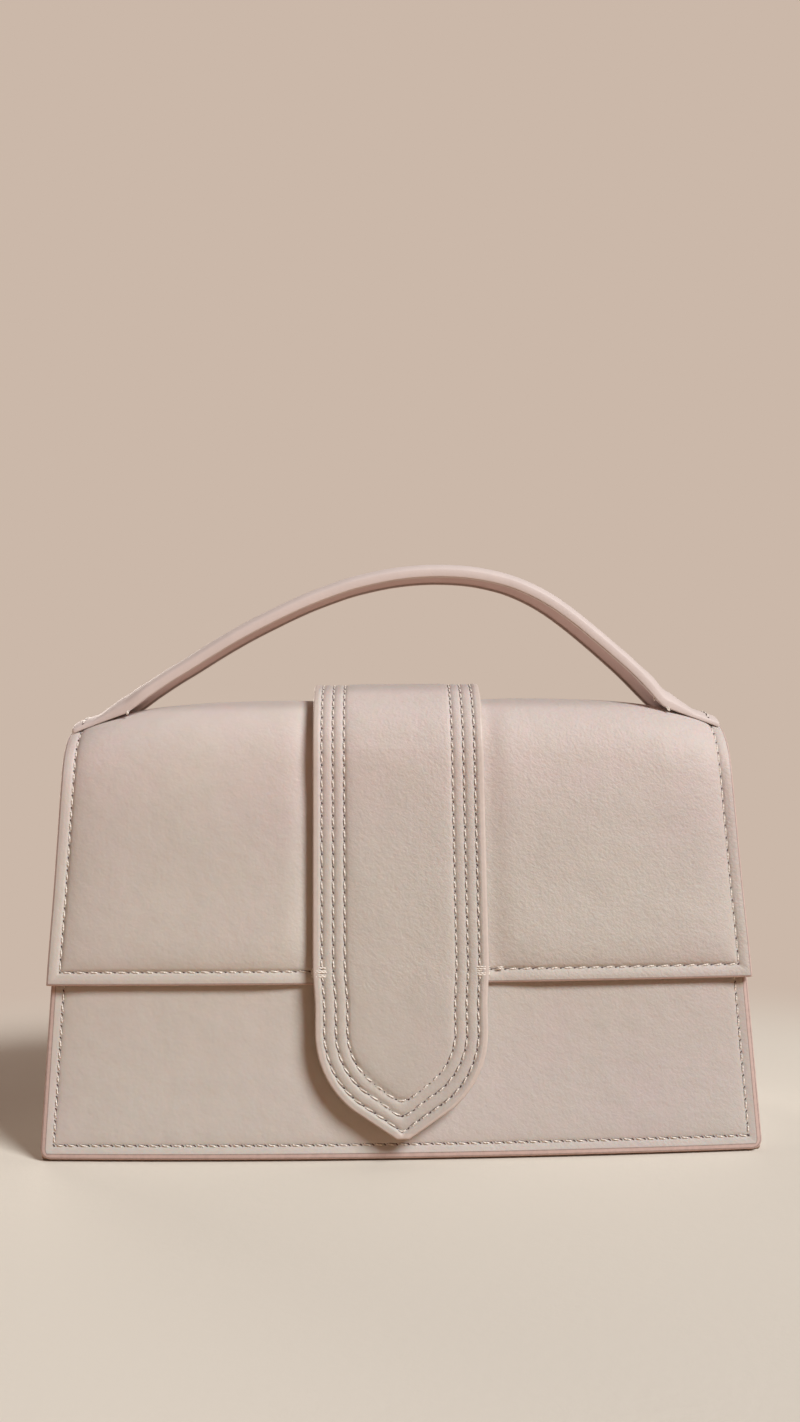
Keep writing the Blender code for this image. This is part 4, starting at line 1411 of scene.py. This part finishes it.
def tab_tip_edge():
    """Inward normal and upward run of the tab's straight edge on the right of its tip."""
    end = Vector((BAND_HALF - TAB_RADIUS + TAB_RADIUS * math.cos(TAB_TURN),
                  TAB_SHOULDER - TAB_RADIUS * math.sin(TAB_TURN)))
    run = (end - Vector((TAB_TIP_HALF, TAB_TIP))).normalized()
    return Vector((-run.y, run.x)), run


def tab_margin(x, height):
    """Distance of a point of the band or the tab from its outline."""
    x = abs(x)
    if height >= TAB_SHOULDER:
        return band_side(height) - x
    middle = Vector((BAND_HALF - TAB_RADIUS, TAB_SHOULDER))
    away = Vector((x, height)) - middle
    if away.x > 0 and math.atan2(-away.y, away.x) <= TAB_TURN:
        return TAB_RADIUS - away.length
    inward = tab_tip_edge()[0]

    def edge(across):
        return (Vector((across, height)) - Vector((TAB_TIP_HALF, TAB_TIP))).dot(inward)

    return edge(rounded(x, edge(x)))


def rounded(x, inset):
    """Distance from the middle, changed so that a seam this far inside turns the tip roundly."""
    reach = 0.3 * max(inset, 0.0001)
    return math.sqrt(x * x + reach * reach) - 0.8 * reach * math.exp(-(x / (2.6 * reach)) ** 2)


def row_height(x, row):
    """Height on the wall of a row of the band; rows on the roll and the back count as high."""
    if row[0] != FRONT:
        return WALL_TOP[FRONT]
    return HEM_HEIGHT + wall_place(x, row) * math.cos(LEAN)


def band_seams():
    """Distances of the band's three seams from its edge."""
    sizes = bpy.context.scene.bag_sizes
    return [sizes.band_seam + k * sizes.band_seam_step for k in range(3)]


def band_lift(x, row):
    """Lift of the band's outer face: three seams along its edge, soft padding inside them."""
    sizes = bpy.context.scene.bag_sizes
    edge = tab_margin(x, row_height(x, row))
    if row[0] == BACK:
        edge = min(edge, row[1])
    seams = band_seams()
    press = max(groove(edge, seam) for seam in seams)
    full = swell(edge - seams[-1], sizes.puff_reach * BAND_PUFF_REACH)
    if row[0] != FRONT:
        full *= BAND_TOP_PUFF
    place = skin_point(x, row, 0)
    arch = BAND_ARCH * smooth_step(*BAND_ARCH_HEIGHTS, place.z)
    if row[0] == BACK or row[0] == ROLL and row[1] > 0.5:
        arch -= BAND_FOLD * dent(place.z, JOINTS["flap_hinge"].z, BAND_FOLD_WIDTH)
    return (BAND_LIFT + arch + bead(edge) - press + sizes.band_puff * full
            - roll_ease(x, row) + ripple(place, *BAND_RIPPLE, 9.0) * full)


def band_under(x, row):
    """Lift of the band's underside."""
    return BAND_BACK - roll_ease(x, row)


def band_half(inset):
    """A function for the band's half width at a row, moved in by an inset."""
    def half(row):
        return tab_half(row_height(0, row), inset)
    return half


def add_band():
    """The centre band in two lengths that meet on the front of the flap, and their seams."""
    sizes = bpy.context.scene.bag_sizes
    rim = sizes.rim
    seams = band_seams()
    shares = shares_across(BAND_HALF, [0, *seams], *BAND_CELLS_ACROSS)
    looks = ("blush_band", "band_edge", "band_edge", "blush_leather")
    foot = (TAB_TIP + rim - HEM_HEIGHT) / math.cos(LEAN)
    low_rows = [(FRONT, foot + place) for place in
                stations(BAND_JOIN - foot, [0.003 * k for k in range(8)], *BAND_CELLS)]
    top_rows = skin_rows(BAND_JOIN, rim, *BAND_CELLS, back_marks=(rim, *seams))
    half = band_half(rim)
    pieces = []
    for name, rows, open_end in (("band_front_filled", low_rows, "last"),
                                 ("band_top_filled", top_rows, "first")):
        pieces.append(thick(name, skin_grid(rows, shares, half, band_lift),
                            skin_grid(rows, shares, half, band_under), rim, looks, open_end,
                            painted=2))
    front, top = pieces
    over_tab(front)
    dress(front, nodes=("tab_leather", "tab_core", "tab_lining"))
    over_hinge(top, BAND_BEND_EARLY)
    dress(top, nodes=("band_leather", "band_core", "band_back"))

    needle = Needlework("band front")
    for seam in seams:
        needle.sew(skin_seam(tab_outline(seam), skin_point, band_lift), sizes.stitch_pitch, -1)
    piece = needle.build("band_front_stitches")
    over_tab(piece)
    dress(piece)

    needle = Needlework("band top")
    climb = skin_rows(BAND_JOIN, seams[0], *SEAM_CELLS)
    for side in (LEFT, RIGHT):
        for seam in seams:
            places = [(side * (band_side(row_height(0, row)) - seam), row) for row in climb
                      if row[0] != BACK or row[1] >= seam]
            needle.sew(skin_seam(places, skin_point, band_lift), sizes.stitch_pitch, -1)
    for seam in seams:
        reach = BAND_HALF + BAND_FLARE - seam
        places = [(x, (BACK, seam)) for x in spread(reach, 15)]
        needle.sew(skin_seam(places, skin_point, band_lift), sizes.stitch_pitch)
    piece = needle.build("band_top_stitches")
    over_hinge(piece, BAND_BEND_EARLY)
    dress(piece)


def tab_outline(inset):
    """Places (x, row) of a seam down the band's left side, round the tab and up the right side."""
    def place(x, height):
        return x, (FRONT, (height - HEM_HEIGHT) / math.cos(LEAN))

    top = HEM_HEIGHT + BAND_JOIN * math.cos(LEAN)
    climb = [TAB_SHOULDER + (top - TAB_SHOULDER) * k / 40 for k in reversed(range(41))]
    right = [(band_side(height) - inset, height) for height in climb]
    middle, radius = BAND_HALF - TAB_RADIUS, TAB_RADIUS - inset
    right += [(middle + radius * math.cos(turn), TAB_SHOULDER - radius * math.sin(turn))
              for turn in (TAB_TURN * k / 24 for k in range(1, 25))]
    inward = tab_tip_edge()[0]
    start = right[-1][0]
    for x in (start * (1 - k / 16) for k in range(1, 17)):
        slide = (rounded(x, inset) - TAB_TIP_HALF) * inward.x
        right.append((x, TAB_TIP + (inset - slide) / inward.y))
    left = [(-x, height) for x, height in right[:-1]]
    return [place(x, height) for x, height in left + list(reversed(right))]


def add_bar_tacks():
    """Thread wrapped over the band's edges where the hem's seam meets them."""
    sizes = bpy.context.scene.bag_sizes
    needle = Needlework("bar tacks")
    height = HEM_HEIGHT + sizes.flap_seam * math.cos(LEAN) - 0.0005
    up = wall_point(0, FRONT, 1, 0) - wall_point(0, FRONT, 0, 0)
    up.normalize()
    out = (wall_point(0, FRONT, 0, 1) - wall_point(0, FRONT, 0, 0)).normalized()
    for side, count, reach in ((LEFT, 5, 0.0060), (RIGHT, 5, 0.0050)):
        edge = band_side(height)
        stops = ((edge + 0.0009, FLAP_LIFT - 0.0003), (edge + 0.0006, FLAP_LIFT + 0.0004),
                 (edge + 0.0002, FLAP_LIFT + 0.0018), (edge + 0.0001, BAND_LIFT - 0.0012),
                 (edge - 0.0004, BAND_LIFT - 0.0002), (edge - 0.0012, BAND_LIFT + 0.0001),
                 (edge - reach * 0.75, BAND_LIFT), (edge - reach, BAND_LIFT - 0.0006))
        path = []
        for index, (x, lift) in enumerate(stops):
            before, after = beside(stops, index)
            run = (Vector((side * (after[0] - before[0]), 0, 0))
                   + out * (after[1] - before[1])).normalized()
            path.append((wall_point(side * x, FRONT, height, lift), run.cross(up) * side, up))
        needle.wrap(path, count, up * sizes.thread_width * 1.15, 0.25, 0.60)
    knot = wall_point(BAND_HALF + BAND_FLARE + 0.0040, FRONT, height + 0.0008, FLAP_LIFT + 0.0003)
    across = Vector((1, 0, 0))
    needle.wrap([(knot + across * 0.0011 * k, out, up) for k in (-1, 0, 1)], 2,
                up * sizes.thread_width * 0.8)
    dress(needle.build("bar_tacks"), "flap")


def flap_top(x):
    """Height of the flap's leather at the top of the roll."""
    return ridge(x) + FLAP_LIFT - roll_ease(x, (ROLL, 0.5))


def handle_foot():
    """Height of the strap's underside at its sewn tips."""
    return flap_top(HANDLE_HALF_SPAN) + GAP


def under_strap(x):
    """Height of the strap's underside at x, on a smooth curve through its path's points."""
    points = [(-HANDLE_HALF_SPAN, handle_foot())]
    points += [(along / 1000, height / 1000) for along, height in HANDLE_PATH]
    points.append((HANDLE_HALF_SPAN, handle_foot()))
    last = len(points) - 1
    index = next((i for i in range(last) if x <= points[i + 1][0]), last - 1)
    (x0, z0), (x1, z1) = points[index], points[index + 1]

    def slope(i):
        before, after = beside(points, i)
        return (after[1] - before[1]) / (after[0] - before[0])

    step = x1 - x0
    t = min(max((x - x0) / step, 0), 1)
    height = ((2 * t ** 3 - 3 * t ** 2 + 1) * z0 + (t ** 3 - 2 * t ** 2 + t) * step * slope(index)
              + (3 * t ** 2 - 2 * t ** 3) * z1 + (t ** 3 - t ** 2) * step * slope(index + 1))
    return max(height, flap_top(x) + GAP)


def strap_slope(x):
    """Slope of the strap's underside at x."""
    step = 0.002
    reach = HANDLE_HALF_SPAN - step
    middle = min(max(x, -reach), reach)
    return (under_strap(middle + step) - under_strap(middle - step)) / (2 * step)


def strap_twist(x):
    """Turn of the strap about its length at x."""
    for (x0, turn0), (x1, turn1) in zip(HANDLE_TWIST, HANDLE_TWIST[1:]):
        if x0 <= x <= x1:
            return math.radians(turn0 + (turn1 - turn0) * smooth_step(x0, x1, x))
    return 0.0


def end_share(x):
    """0 along the free arch, 1 at the sewn tips."""
    return smooth_step(HANDLE_FREE, HANDLE_HALF_SPAN, abs(x))


def strap_half(x):
    """Half width of the strap at x."""
    return (HANDLE_WIDTH + end_share(x) * (HANDLE_END_WIDTH - HANDLE_WIDTH)) / 2


def strap_fill(x, reach=0.008, steps=6):
    """Extra filling where the strap's underside bends onto the flap."""
    places = [x + away for away in spread(reach, steps)]
    return max(sum(under_strap(place) for place in places) / len(places) - under_strap(x), 0)


def strap_top(x, across):
    """Height of the strap's upper face above its underside, across its width."""
    full = min(max((HANDLE_CROWN_END - abs(x)) / HANDLE_FADE, 0), 1)
    top = HANDLE_END_THICKNESS + full * (HANDLE_CROWN + strap_fill(x) - HANDLE_END_THICKNESS)
    low = HANDLE_END_THICKNESS - HANDLE_CORNER
    edge = low + full * (HANDLE_EDGE - low)
    out = min(abs(across) / strap_half(x), 1)
    steepness, roundness = HANDLE_CROWN_POWERS
    return edge + (top - edge) * (1 - out ** steepness) ** roundness


def strap_profile(x):
    """Outline of the strap across its width: (across, height) round from the lower left."""
    half, corner = strap_half(x), HANDLE_CORNER
    inner = half - HANDLE_TURNING - corner
    outline = [(corner - half, 0.0), (HANDLE_TURNING - half, 0.0)]
    outline += [(across, HANDLE_RECESS) for across in spread(inner, 4)]
    outline += [(half - HANDLE_TURNING, 0.0), (half - corner, 0.0)]
    for k in range(1, 4):
        turn = math.pi / 2 * (k / 3 - 1)
        outline.append((half - corner + corner * math.cos(turn), corner + corner * math.sin(turn)))
    for k in range(23):
        across = half * math.cos(math.pi * k / 22)
        outline.append((across, strap_top(x, across)))
    for k in range(3):
        turn = math.pi / 2 * (2 + k / 3)
        outline.append((corner - half + corner * math.cos(turn), corner + corner * math.sin(turn)))
    return outline


# Finish of each face round the strap, in the order of its outline; the recess walls under it
# take the darker crease paint as painted shade
STRAP_LOOKS = [0, 3] + [1] * 8 + [3] + [0] * 31


def strap_point(x, across, height):
    """A point of the strap: across its width and up from its underside at x."""
    middle = roll_circle(x)[0] * (1 - end_share(x))
    radius = roll_circle(x)[2] + FLAP_LIFT
    sag = end_share(x) * (radius - math.sqrt(radius ** 2 - across ** 2))
    upright = math.sqrt(1 + strap_slope(x) ** 2)
    turn = strap_twist(x)
    y = across * math.cos(turn) - height * math.sin(turn)
    z = across * math.sin(turn) + height * math.cos(turn)
    return Vector((x, middle + y, under_strap(x) - sag + z * upright))


def strap_ring(x, shrink=0.0):
    """The strap's outline at x, drawn in towards its middle by a share for a rounded tip."""
    thickness = HANDLE_END_THICKNESS / 2
    narrower, thinner = HANDLE_TIP_SHRINK
    return [strap_point(x, across * (1 - narrower * shrink),
                        thickness + (height - thickness) * (1 - thinner * shrink))
            for across, height in strap_profile(x)]


def add_handle():
    """The handle in two halves that meet at the top of the arch, and the thread at its ends."""
    sizes = bpy.context.scene.bag_sizes
    for side, word in ((LEFT, "left"), (RIGHT, "right")):
        far = side * (HANDLE_HALF_SPAN - HANDLE_TIP)
        rings = [strap_ring(HANDLE_MIDDLE + (far - HANDLE_MIDDLE) * k / HANDLE_RINGS)
                 for k in range(HANDLE_RINGS + 1)]
        for turn in (math.radians(30), math.radians(60), math.radians(84)):
            rings.append(strap_ring(far + side * HANDLE_TIP * math.sin(turn),
                                    1 - math.cos(turn)))
        around = len(rings[0])
        points = [point for ring in rings for point in ring]
        faces, looks = [], []
        for k in range(len(rings) - 1):
            for s in range(around):
                a, b = k * around + s, k * around + (s + 1) % around
                face = (a, b, b + around, a + around)
                faces.append(face if side == LEFT else tuple(reversed(face)))
                looks.append(STRAP_LOOKS[s])
        cap = tuple((len(rings) - 1) * around + s for s in range(around))
        faces.append(cap if side == LEFT else tuple(reversed(cap)))
        looks.append(2)
        half = mesh_piece("handle_" + word + "_half", points, faces,
                          ("handle_leather", "handle_under", "edge_paint", "edge_crease"), looks)
        over_strap(half)
        nodes = ("handle_end_" + word,)
        if side == LEFT:
            nodes += ("handle_cover", "handle_core", "handle_lining")
        dress(half, nodes=nodes)

        needle = Needlework("handle " + word)
        end = side * HANDLE_SEAM
        reach = strap_half(end) - 0.0006
        stops = spread(reach, 12)
        points = [strap_point(end, across, strap_top(end, across)) for across in stops]
        normals = [Vector((side * 0.25, across * 8, 1)).normalized() for across in stops]
        needle.sew(Seam(points, normals), sizes.stitch_pitch * 0.9)
        for place, out in HANDLE_THREADS[word]:
            low = strap_point(place, out - strap_half(place), 0.0001)
            bit = [(low + Vector((side * 0.0002 * k, -0.0001 * k, -0.0005 * k)),
                    Vector((0, -1, 0)), Vector((1, 0, 0))) for k in (-1, 0, 1, 2)]
            needle.wrap(bit, 2, Vector((side * sizes.thread_width, 0, 0)))
        piece = needle.build("handle_" + word + "_stitches")
        over_strap(piece)
        dress(piece)


def snap_spot(lift):
    """The snap's place over the front wall at a lift."""
    return wall_point(0, FRONT, SNAP_HEIGHT, lift)


def lathe(name, profile, foot_lift, finishes, bands, steps=48):
    """A turned piece on the front wall's normal; the profile is (radius, height) from its axis."""
    turn = Matrix.Rotation(math.pi / 2 - LEAN, 3, "X")
    foot = snap_spot(foot_lift)
    points, faces, looks = [], [], []
    for radius, height in profile:
        for k in range(steps):
            angle = 2 * math.pi * k / steps
            local = Vector((radius * math.cos(angle), radius * math.sin(angle), height))
            points.append(foot + turn @ local)
    for index in range(len(profile) - 1):
        for k in range(steps):
            a, b = index * steps + k, index * steps + (k + 1) % steps
            faces.append((a, b, b + steps, a + steps))
            looks.append(bands[index])
    faces.append(tuple(reversed(range(steps))))
    faces.append(tuple((len(profile) - 1) * steps + k for k in range(steps)))
    looks += [bands[0], bands[-1]]
    return mesh_piece(name, points, faces, finishes, looks)


def add_snap():
    """Both halves of the magnetic snap: a socket on the wall and a stud under the tab."""
    lip, drop = SNAP_LIP, SNAP_NUB_DROP
    socket = (
        (SNAP_RADIUS - lip, 0.00002), (SNAP_RADIUS, lip), (SNAP_RADIUS, SNAP_PLATE - lip),
        (SNAP_RADIUS - lip * 0.3, SNAP_PLATE - lip * 0.3), (SNAP_RADIUS - lip, SNAP_PLATE),
        (SNAP_RADIUS - 5 * lip, SNAP_PLATE), (SNAP_RADIUS - 6 * lip, SNAP_PLATE - lip * 0.5),
        (SNAP_BORE + 3 * lip, SNAP_PLATE - lip * 0.5), (SNAP_BORE + 2 * lip, SNAP_PLATE),
        (SNAP_BORE + lip * 0.5, SNAP_PLATE), (SNAP_BORE, SNAP_PLATE - lip * 0.5),
        (SNAP_BORE, 0.0002), (0.0001, 0.0002))
    piece = lathe("snap_socket_plate", socket, GAP, ("nickel", "magnet"), [0] * 11 + [1])
    dress(piece, "body", ("snap_socket",))
    plate = FLAP_LIFT - SNAP_PLATE
    stud = (
        (0.0001, -drop), (SNAP_NUB - lip, -drop), (SNAP_NUB - lip * 0.3, -drop + lip * 0.3),
        (SNAP_NUB, -drop + lip), (SNAP_NUB, 0.0), (SNAP_NUB + lip, 0.0),
        (SNAP_RADIUS - 3 * lip, 0.0), (SNAP_RADIUS - lip, lip * 0.3), (SNAP_RADIUS, lip),
        (SNAP_RADIUS, SNAP_PLATE - lip * 0.2), (0.0001, SNAP_PLATE))
    piece = lathe("snap_stud_plate", stud, plate, ("nickel", "magnet"), [0] * 10)
    dress(piece, "tab", ("snap_stud",))


def add_light(name, place, size, power, tint):
    """A large soft light that looks at the bag."""
    lamp = bpy.data.lights.new(name, "AREA")
    lamp.shape = "DISK"
    lamp.size = size
    lamp.energy = power
    lamp.color = tint
    light = bpy.data.objects.new(name, lamp)
    light.location = place
    light.rotation_euler = (LIGHTS_AIM - Vector(place)).to_track_quat("-Z", "Y").to_euler()
    bpy.context.scene.collection.objects.link(light)


class BAG_OT_finishes(bpy.types.Operator):
    """Makes the materials of the leather, thread, lining, metal, board and floor"""

    bl_idname = "bag.finishes"
    bl_label = "Make finishes"

    def execute(self, context):
        colours = context.scene.bag_colours
        leather("blush_leather", colours.pale, colours.rosy)
        leather("facing_leather", colours.pale, colours.rosy, soft=0.0)
        # The band is the same leather made darker, painted shade against the light on the middle,
        # with its own crest for the painted shade on top and almost no painted floor light at its
        # foot
        leather("blush_band", shade(colours.pale, 0.95), shade(colours.rosy, 0.95), 0.55,
                crest=0.1540, foot=(0.98, 1.0, 1.0))
        # The handle is the same leather made lighter, a painted highlight, without the painted
        # shade on top
        leather("handle_leather", shade(colours.rosy, 1.05), shade(colours.rosy, 1.08), 0.52, 0.25,
                crest=1.0, soft=0.0)
        # The handle's underside is darker and redder than the leather, partly painted shade
        leather("handle_under", shade(colours.under, 1.05), colours.under, 0.55, 0.3, crest=1.0,
                soft=0.0)
        cream = [0.35 * a + 0.65 * b for a, b in zip(colours.edge, colours.pale)]
        edge_paint("band_edge", cream, shade(cream, 0.92))
        edge_paint("edge_paint", colours.edge, shade(colours.edge, 0.88))
        # Darker edge paint for the crease beside each edge and the handle's recess walls: painted
        # shade
        edge_paint("edge_crease", shade(colours.edge, 0.62), shade(colours.edge, 0.50))
        suede("suede", colours.suede)
        thread_finish("thread", colours.thread)
        hole_finish("needle_hole", shade(colours.under, 0.80))
        metal("nickel", colours.nickel)
        metal("magnet", shade(colours.nickel, 0.35))
        board("bonded_board")
        studio_floor("studio_floor", colours.floor, colours.backdrop)
        return {"FINISHED"}


class BAG_OT_walls(bpy.types.Operator):
    """Makes the leather of the front and back walls, their facings and their lining"""

    bl_idname = "bag.walls"
    bl_label = "Make walls"

    def execute(self, context):
        for side_of_bag, word in ((FRONT, "front"), (BACK, "back")):
            add_wall(side_of_bag, word)
            add_facing(side_of_bag, word)
            add_wall_lining(side_of_bag, word)
        return {"FINISHED"}


class BAG_OT_gussets(bpy.types.Operator):
    """Makes the folded side pieces and their lining"""

    bl_idname = "bag.gussets"
    bl_label = "Make gussets"

    def execute(self, context):
        for side, word in ((LEFT, "left"), (RIGHT, "right")):
            add_gusset(side, word)
        return {"FINISHED"}


class BAG_OT_base(bpy.types.Operator):
    """Makes the base and its lining"""

    bl_idname = "bag.base"
    bl_label = "Make base"

    def execute(self, context):
        add_base()
        return {"FINISHED"}


class BAG_OT_flap(bpy.types.Operator):
    """Makes the flap with its yoke and seams"""

    bl_idname = "bag.flap"
    bl_label = "Make flap"

    def execute(self, context):
        add_flap()
        return {"FINISHED"}


class BAG_OT_band(bpy.types.Operator):
    """Makes the filled centre band with its tab, seams and bar tacks"""

    bl_idname = "bag.band"
    bl_label = "Make band"

    def execute(self, context):
        add_band()
        add_bar_tacks()
        return {"FINISHED"}


class BAG_OT_handle(bpy.types.Operator):
    """Makes the padded handle and the thread at its ends"""

    bl_idname = "bag.handle"
    bl_label = "Make handle"

    def execute(self, context):
        add_handle()
        return {"FINISHED"}


class BAG_OT_snap(bpy.types.Operator):
    """Makes the magnetic snap, and gives the boards and washers their finishes"""

    bl_idname = "bag.snap"
    bl_label = "Make snap and boards"

    def execute(self, context):
        add_snap()
        finishes = {"front_board": "bonded_board", "back_board": "bonded_board",
                    "base_board": "bonded_board", "snap_socket_washer": "nickel",
                    "snap_stud_washer": "nickel"}
        for node, finish in finishes.items():
            slots = frame["nodes"][node].data.materials
            slots.clear()
            slots.append(bpy.data.materials[finish])
        return {"FINISHED"}


class BAG_OT_studio(bpy.types.Operator):
    """Makes the floor, the sky, the lights and the camera"""

    bl_idname = "bag.studio"
    bl_label = "Make studio"

    def execute(self, context):
        scene, studio = context.scene, context.scene.bag_studio
        points = [Vector((FLOOR_RADIUS * math.cos(turn), FLOOR_RADIUS * math.sin(turn), 0))
                  for turn in (2 * math.pi * k / FLOOR_SIDES for k in range(FLOOR_SIDES))]
        floor = mesh_piece("studio_floor", points, [tuple(range(FLOOR_SIDES))],
                           ("studio_floor",), [0])
        for name, (place, size, tint) in LIGHTS.items():
            add_light(name + "_light", place, size, getattr(studio, name), tint)
        world = bpy.data.worlds.new("studio_sky")
        world.use_nodes = True
        scene.world = world
        sky = Nodes(world.node_tree)
        lit = sky.node("ShaderNodeBackground", {},
                       {"Color": SKY_COLOUR, "Strength": studio.sky})
        shown = sky.node("ShaderNodeBackground", {},
                         {"Color": colour(context.scene.bag_colours.backdrop)})
        sky.show("World Output", sky.seen(), lit, shown)
        camera = bpy.data.objects.new("camera", bpy.data.cameras.new("camera"))
        camera.data.sensor_width = SENSOR_WIDTH
        camera.data.lens = CAMERA_LENS
        camera.data.clip_start = CLIP_START
        first, second, third = (Matrix.Rotation(math.radians(degrees), 4, axis)
                                for degrees, axis in CAMERA_TURNS)
        camera.matrix_world = Matrix.Translation(CAMERA_PLACE) @ (first @ second @ third)
        scene.collection.objects.link(camera)
        scene.camera = camera
        scene.view_settings.view_transform = "Standard"
        return {"FINISHED"}


class BAG_PT_panel(bpy.types.Panel):
    """Lists the bag's steps, sizes and colours in the sidebar"""

    bl_label = "Bag"
    bl_idname = "BAG_PT_panel"
    bl_space_type = "VIEW_3D"
    bl_region_type = "UI"
    bl_category = "Bag"

    def draw(self, context):
        for step in STEPS:
            self.layout.operator("bag." + step)
        scene = context.scene
        for group in (scene.bag_sizes, scene.bag_colours, scene.bag_studio):
            box = self.layout.box()
            for name in group.__annotations__:
                box.prop(group, name)


GROUPS = (("bag_sizes", BagSizes), ("bag_colours", BagColours), ("bag_studio", BagStudio))
STEPS = ("finishes", "walls", "gussets", "base", "flap", "band", "handle", "snap", "studio")
CLASSES = (BagSizes, BagColours, BagStudio, BAG_OT_finishes, BAG_OT_walls, BAG_OT_gussets,
           BAG_OT_base, BAG_OT_flap, BAG_OT_band, BAG_OT_handle, BAG_OT_snap, BAG_OT_studio,
           BAG_PT_panel)


def register():
    """Registers the classes and hangs their settings on the scene."""
    for item in CLASSES:
        bpy.utils.register_class(item)
    for name, group in GROUPS:
        setattr(bpy.types.Scene, name, PointerProperty(type=group))


def unregister():
    """Takes the classes and the settings away again."""
    for name, group in GROUPS:
        delattr(bpy.types.Scene, name)
    for item in reversed(CLASSES):
        bpy.utils.unregister_class(item)


def main():
    """Dresses the bag."""
    register()
    for step in STEPS:
        getattr(bpy.ops.bag, step)()


if __name__ == "__main__":
    main()
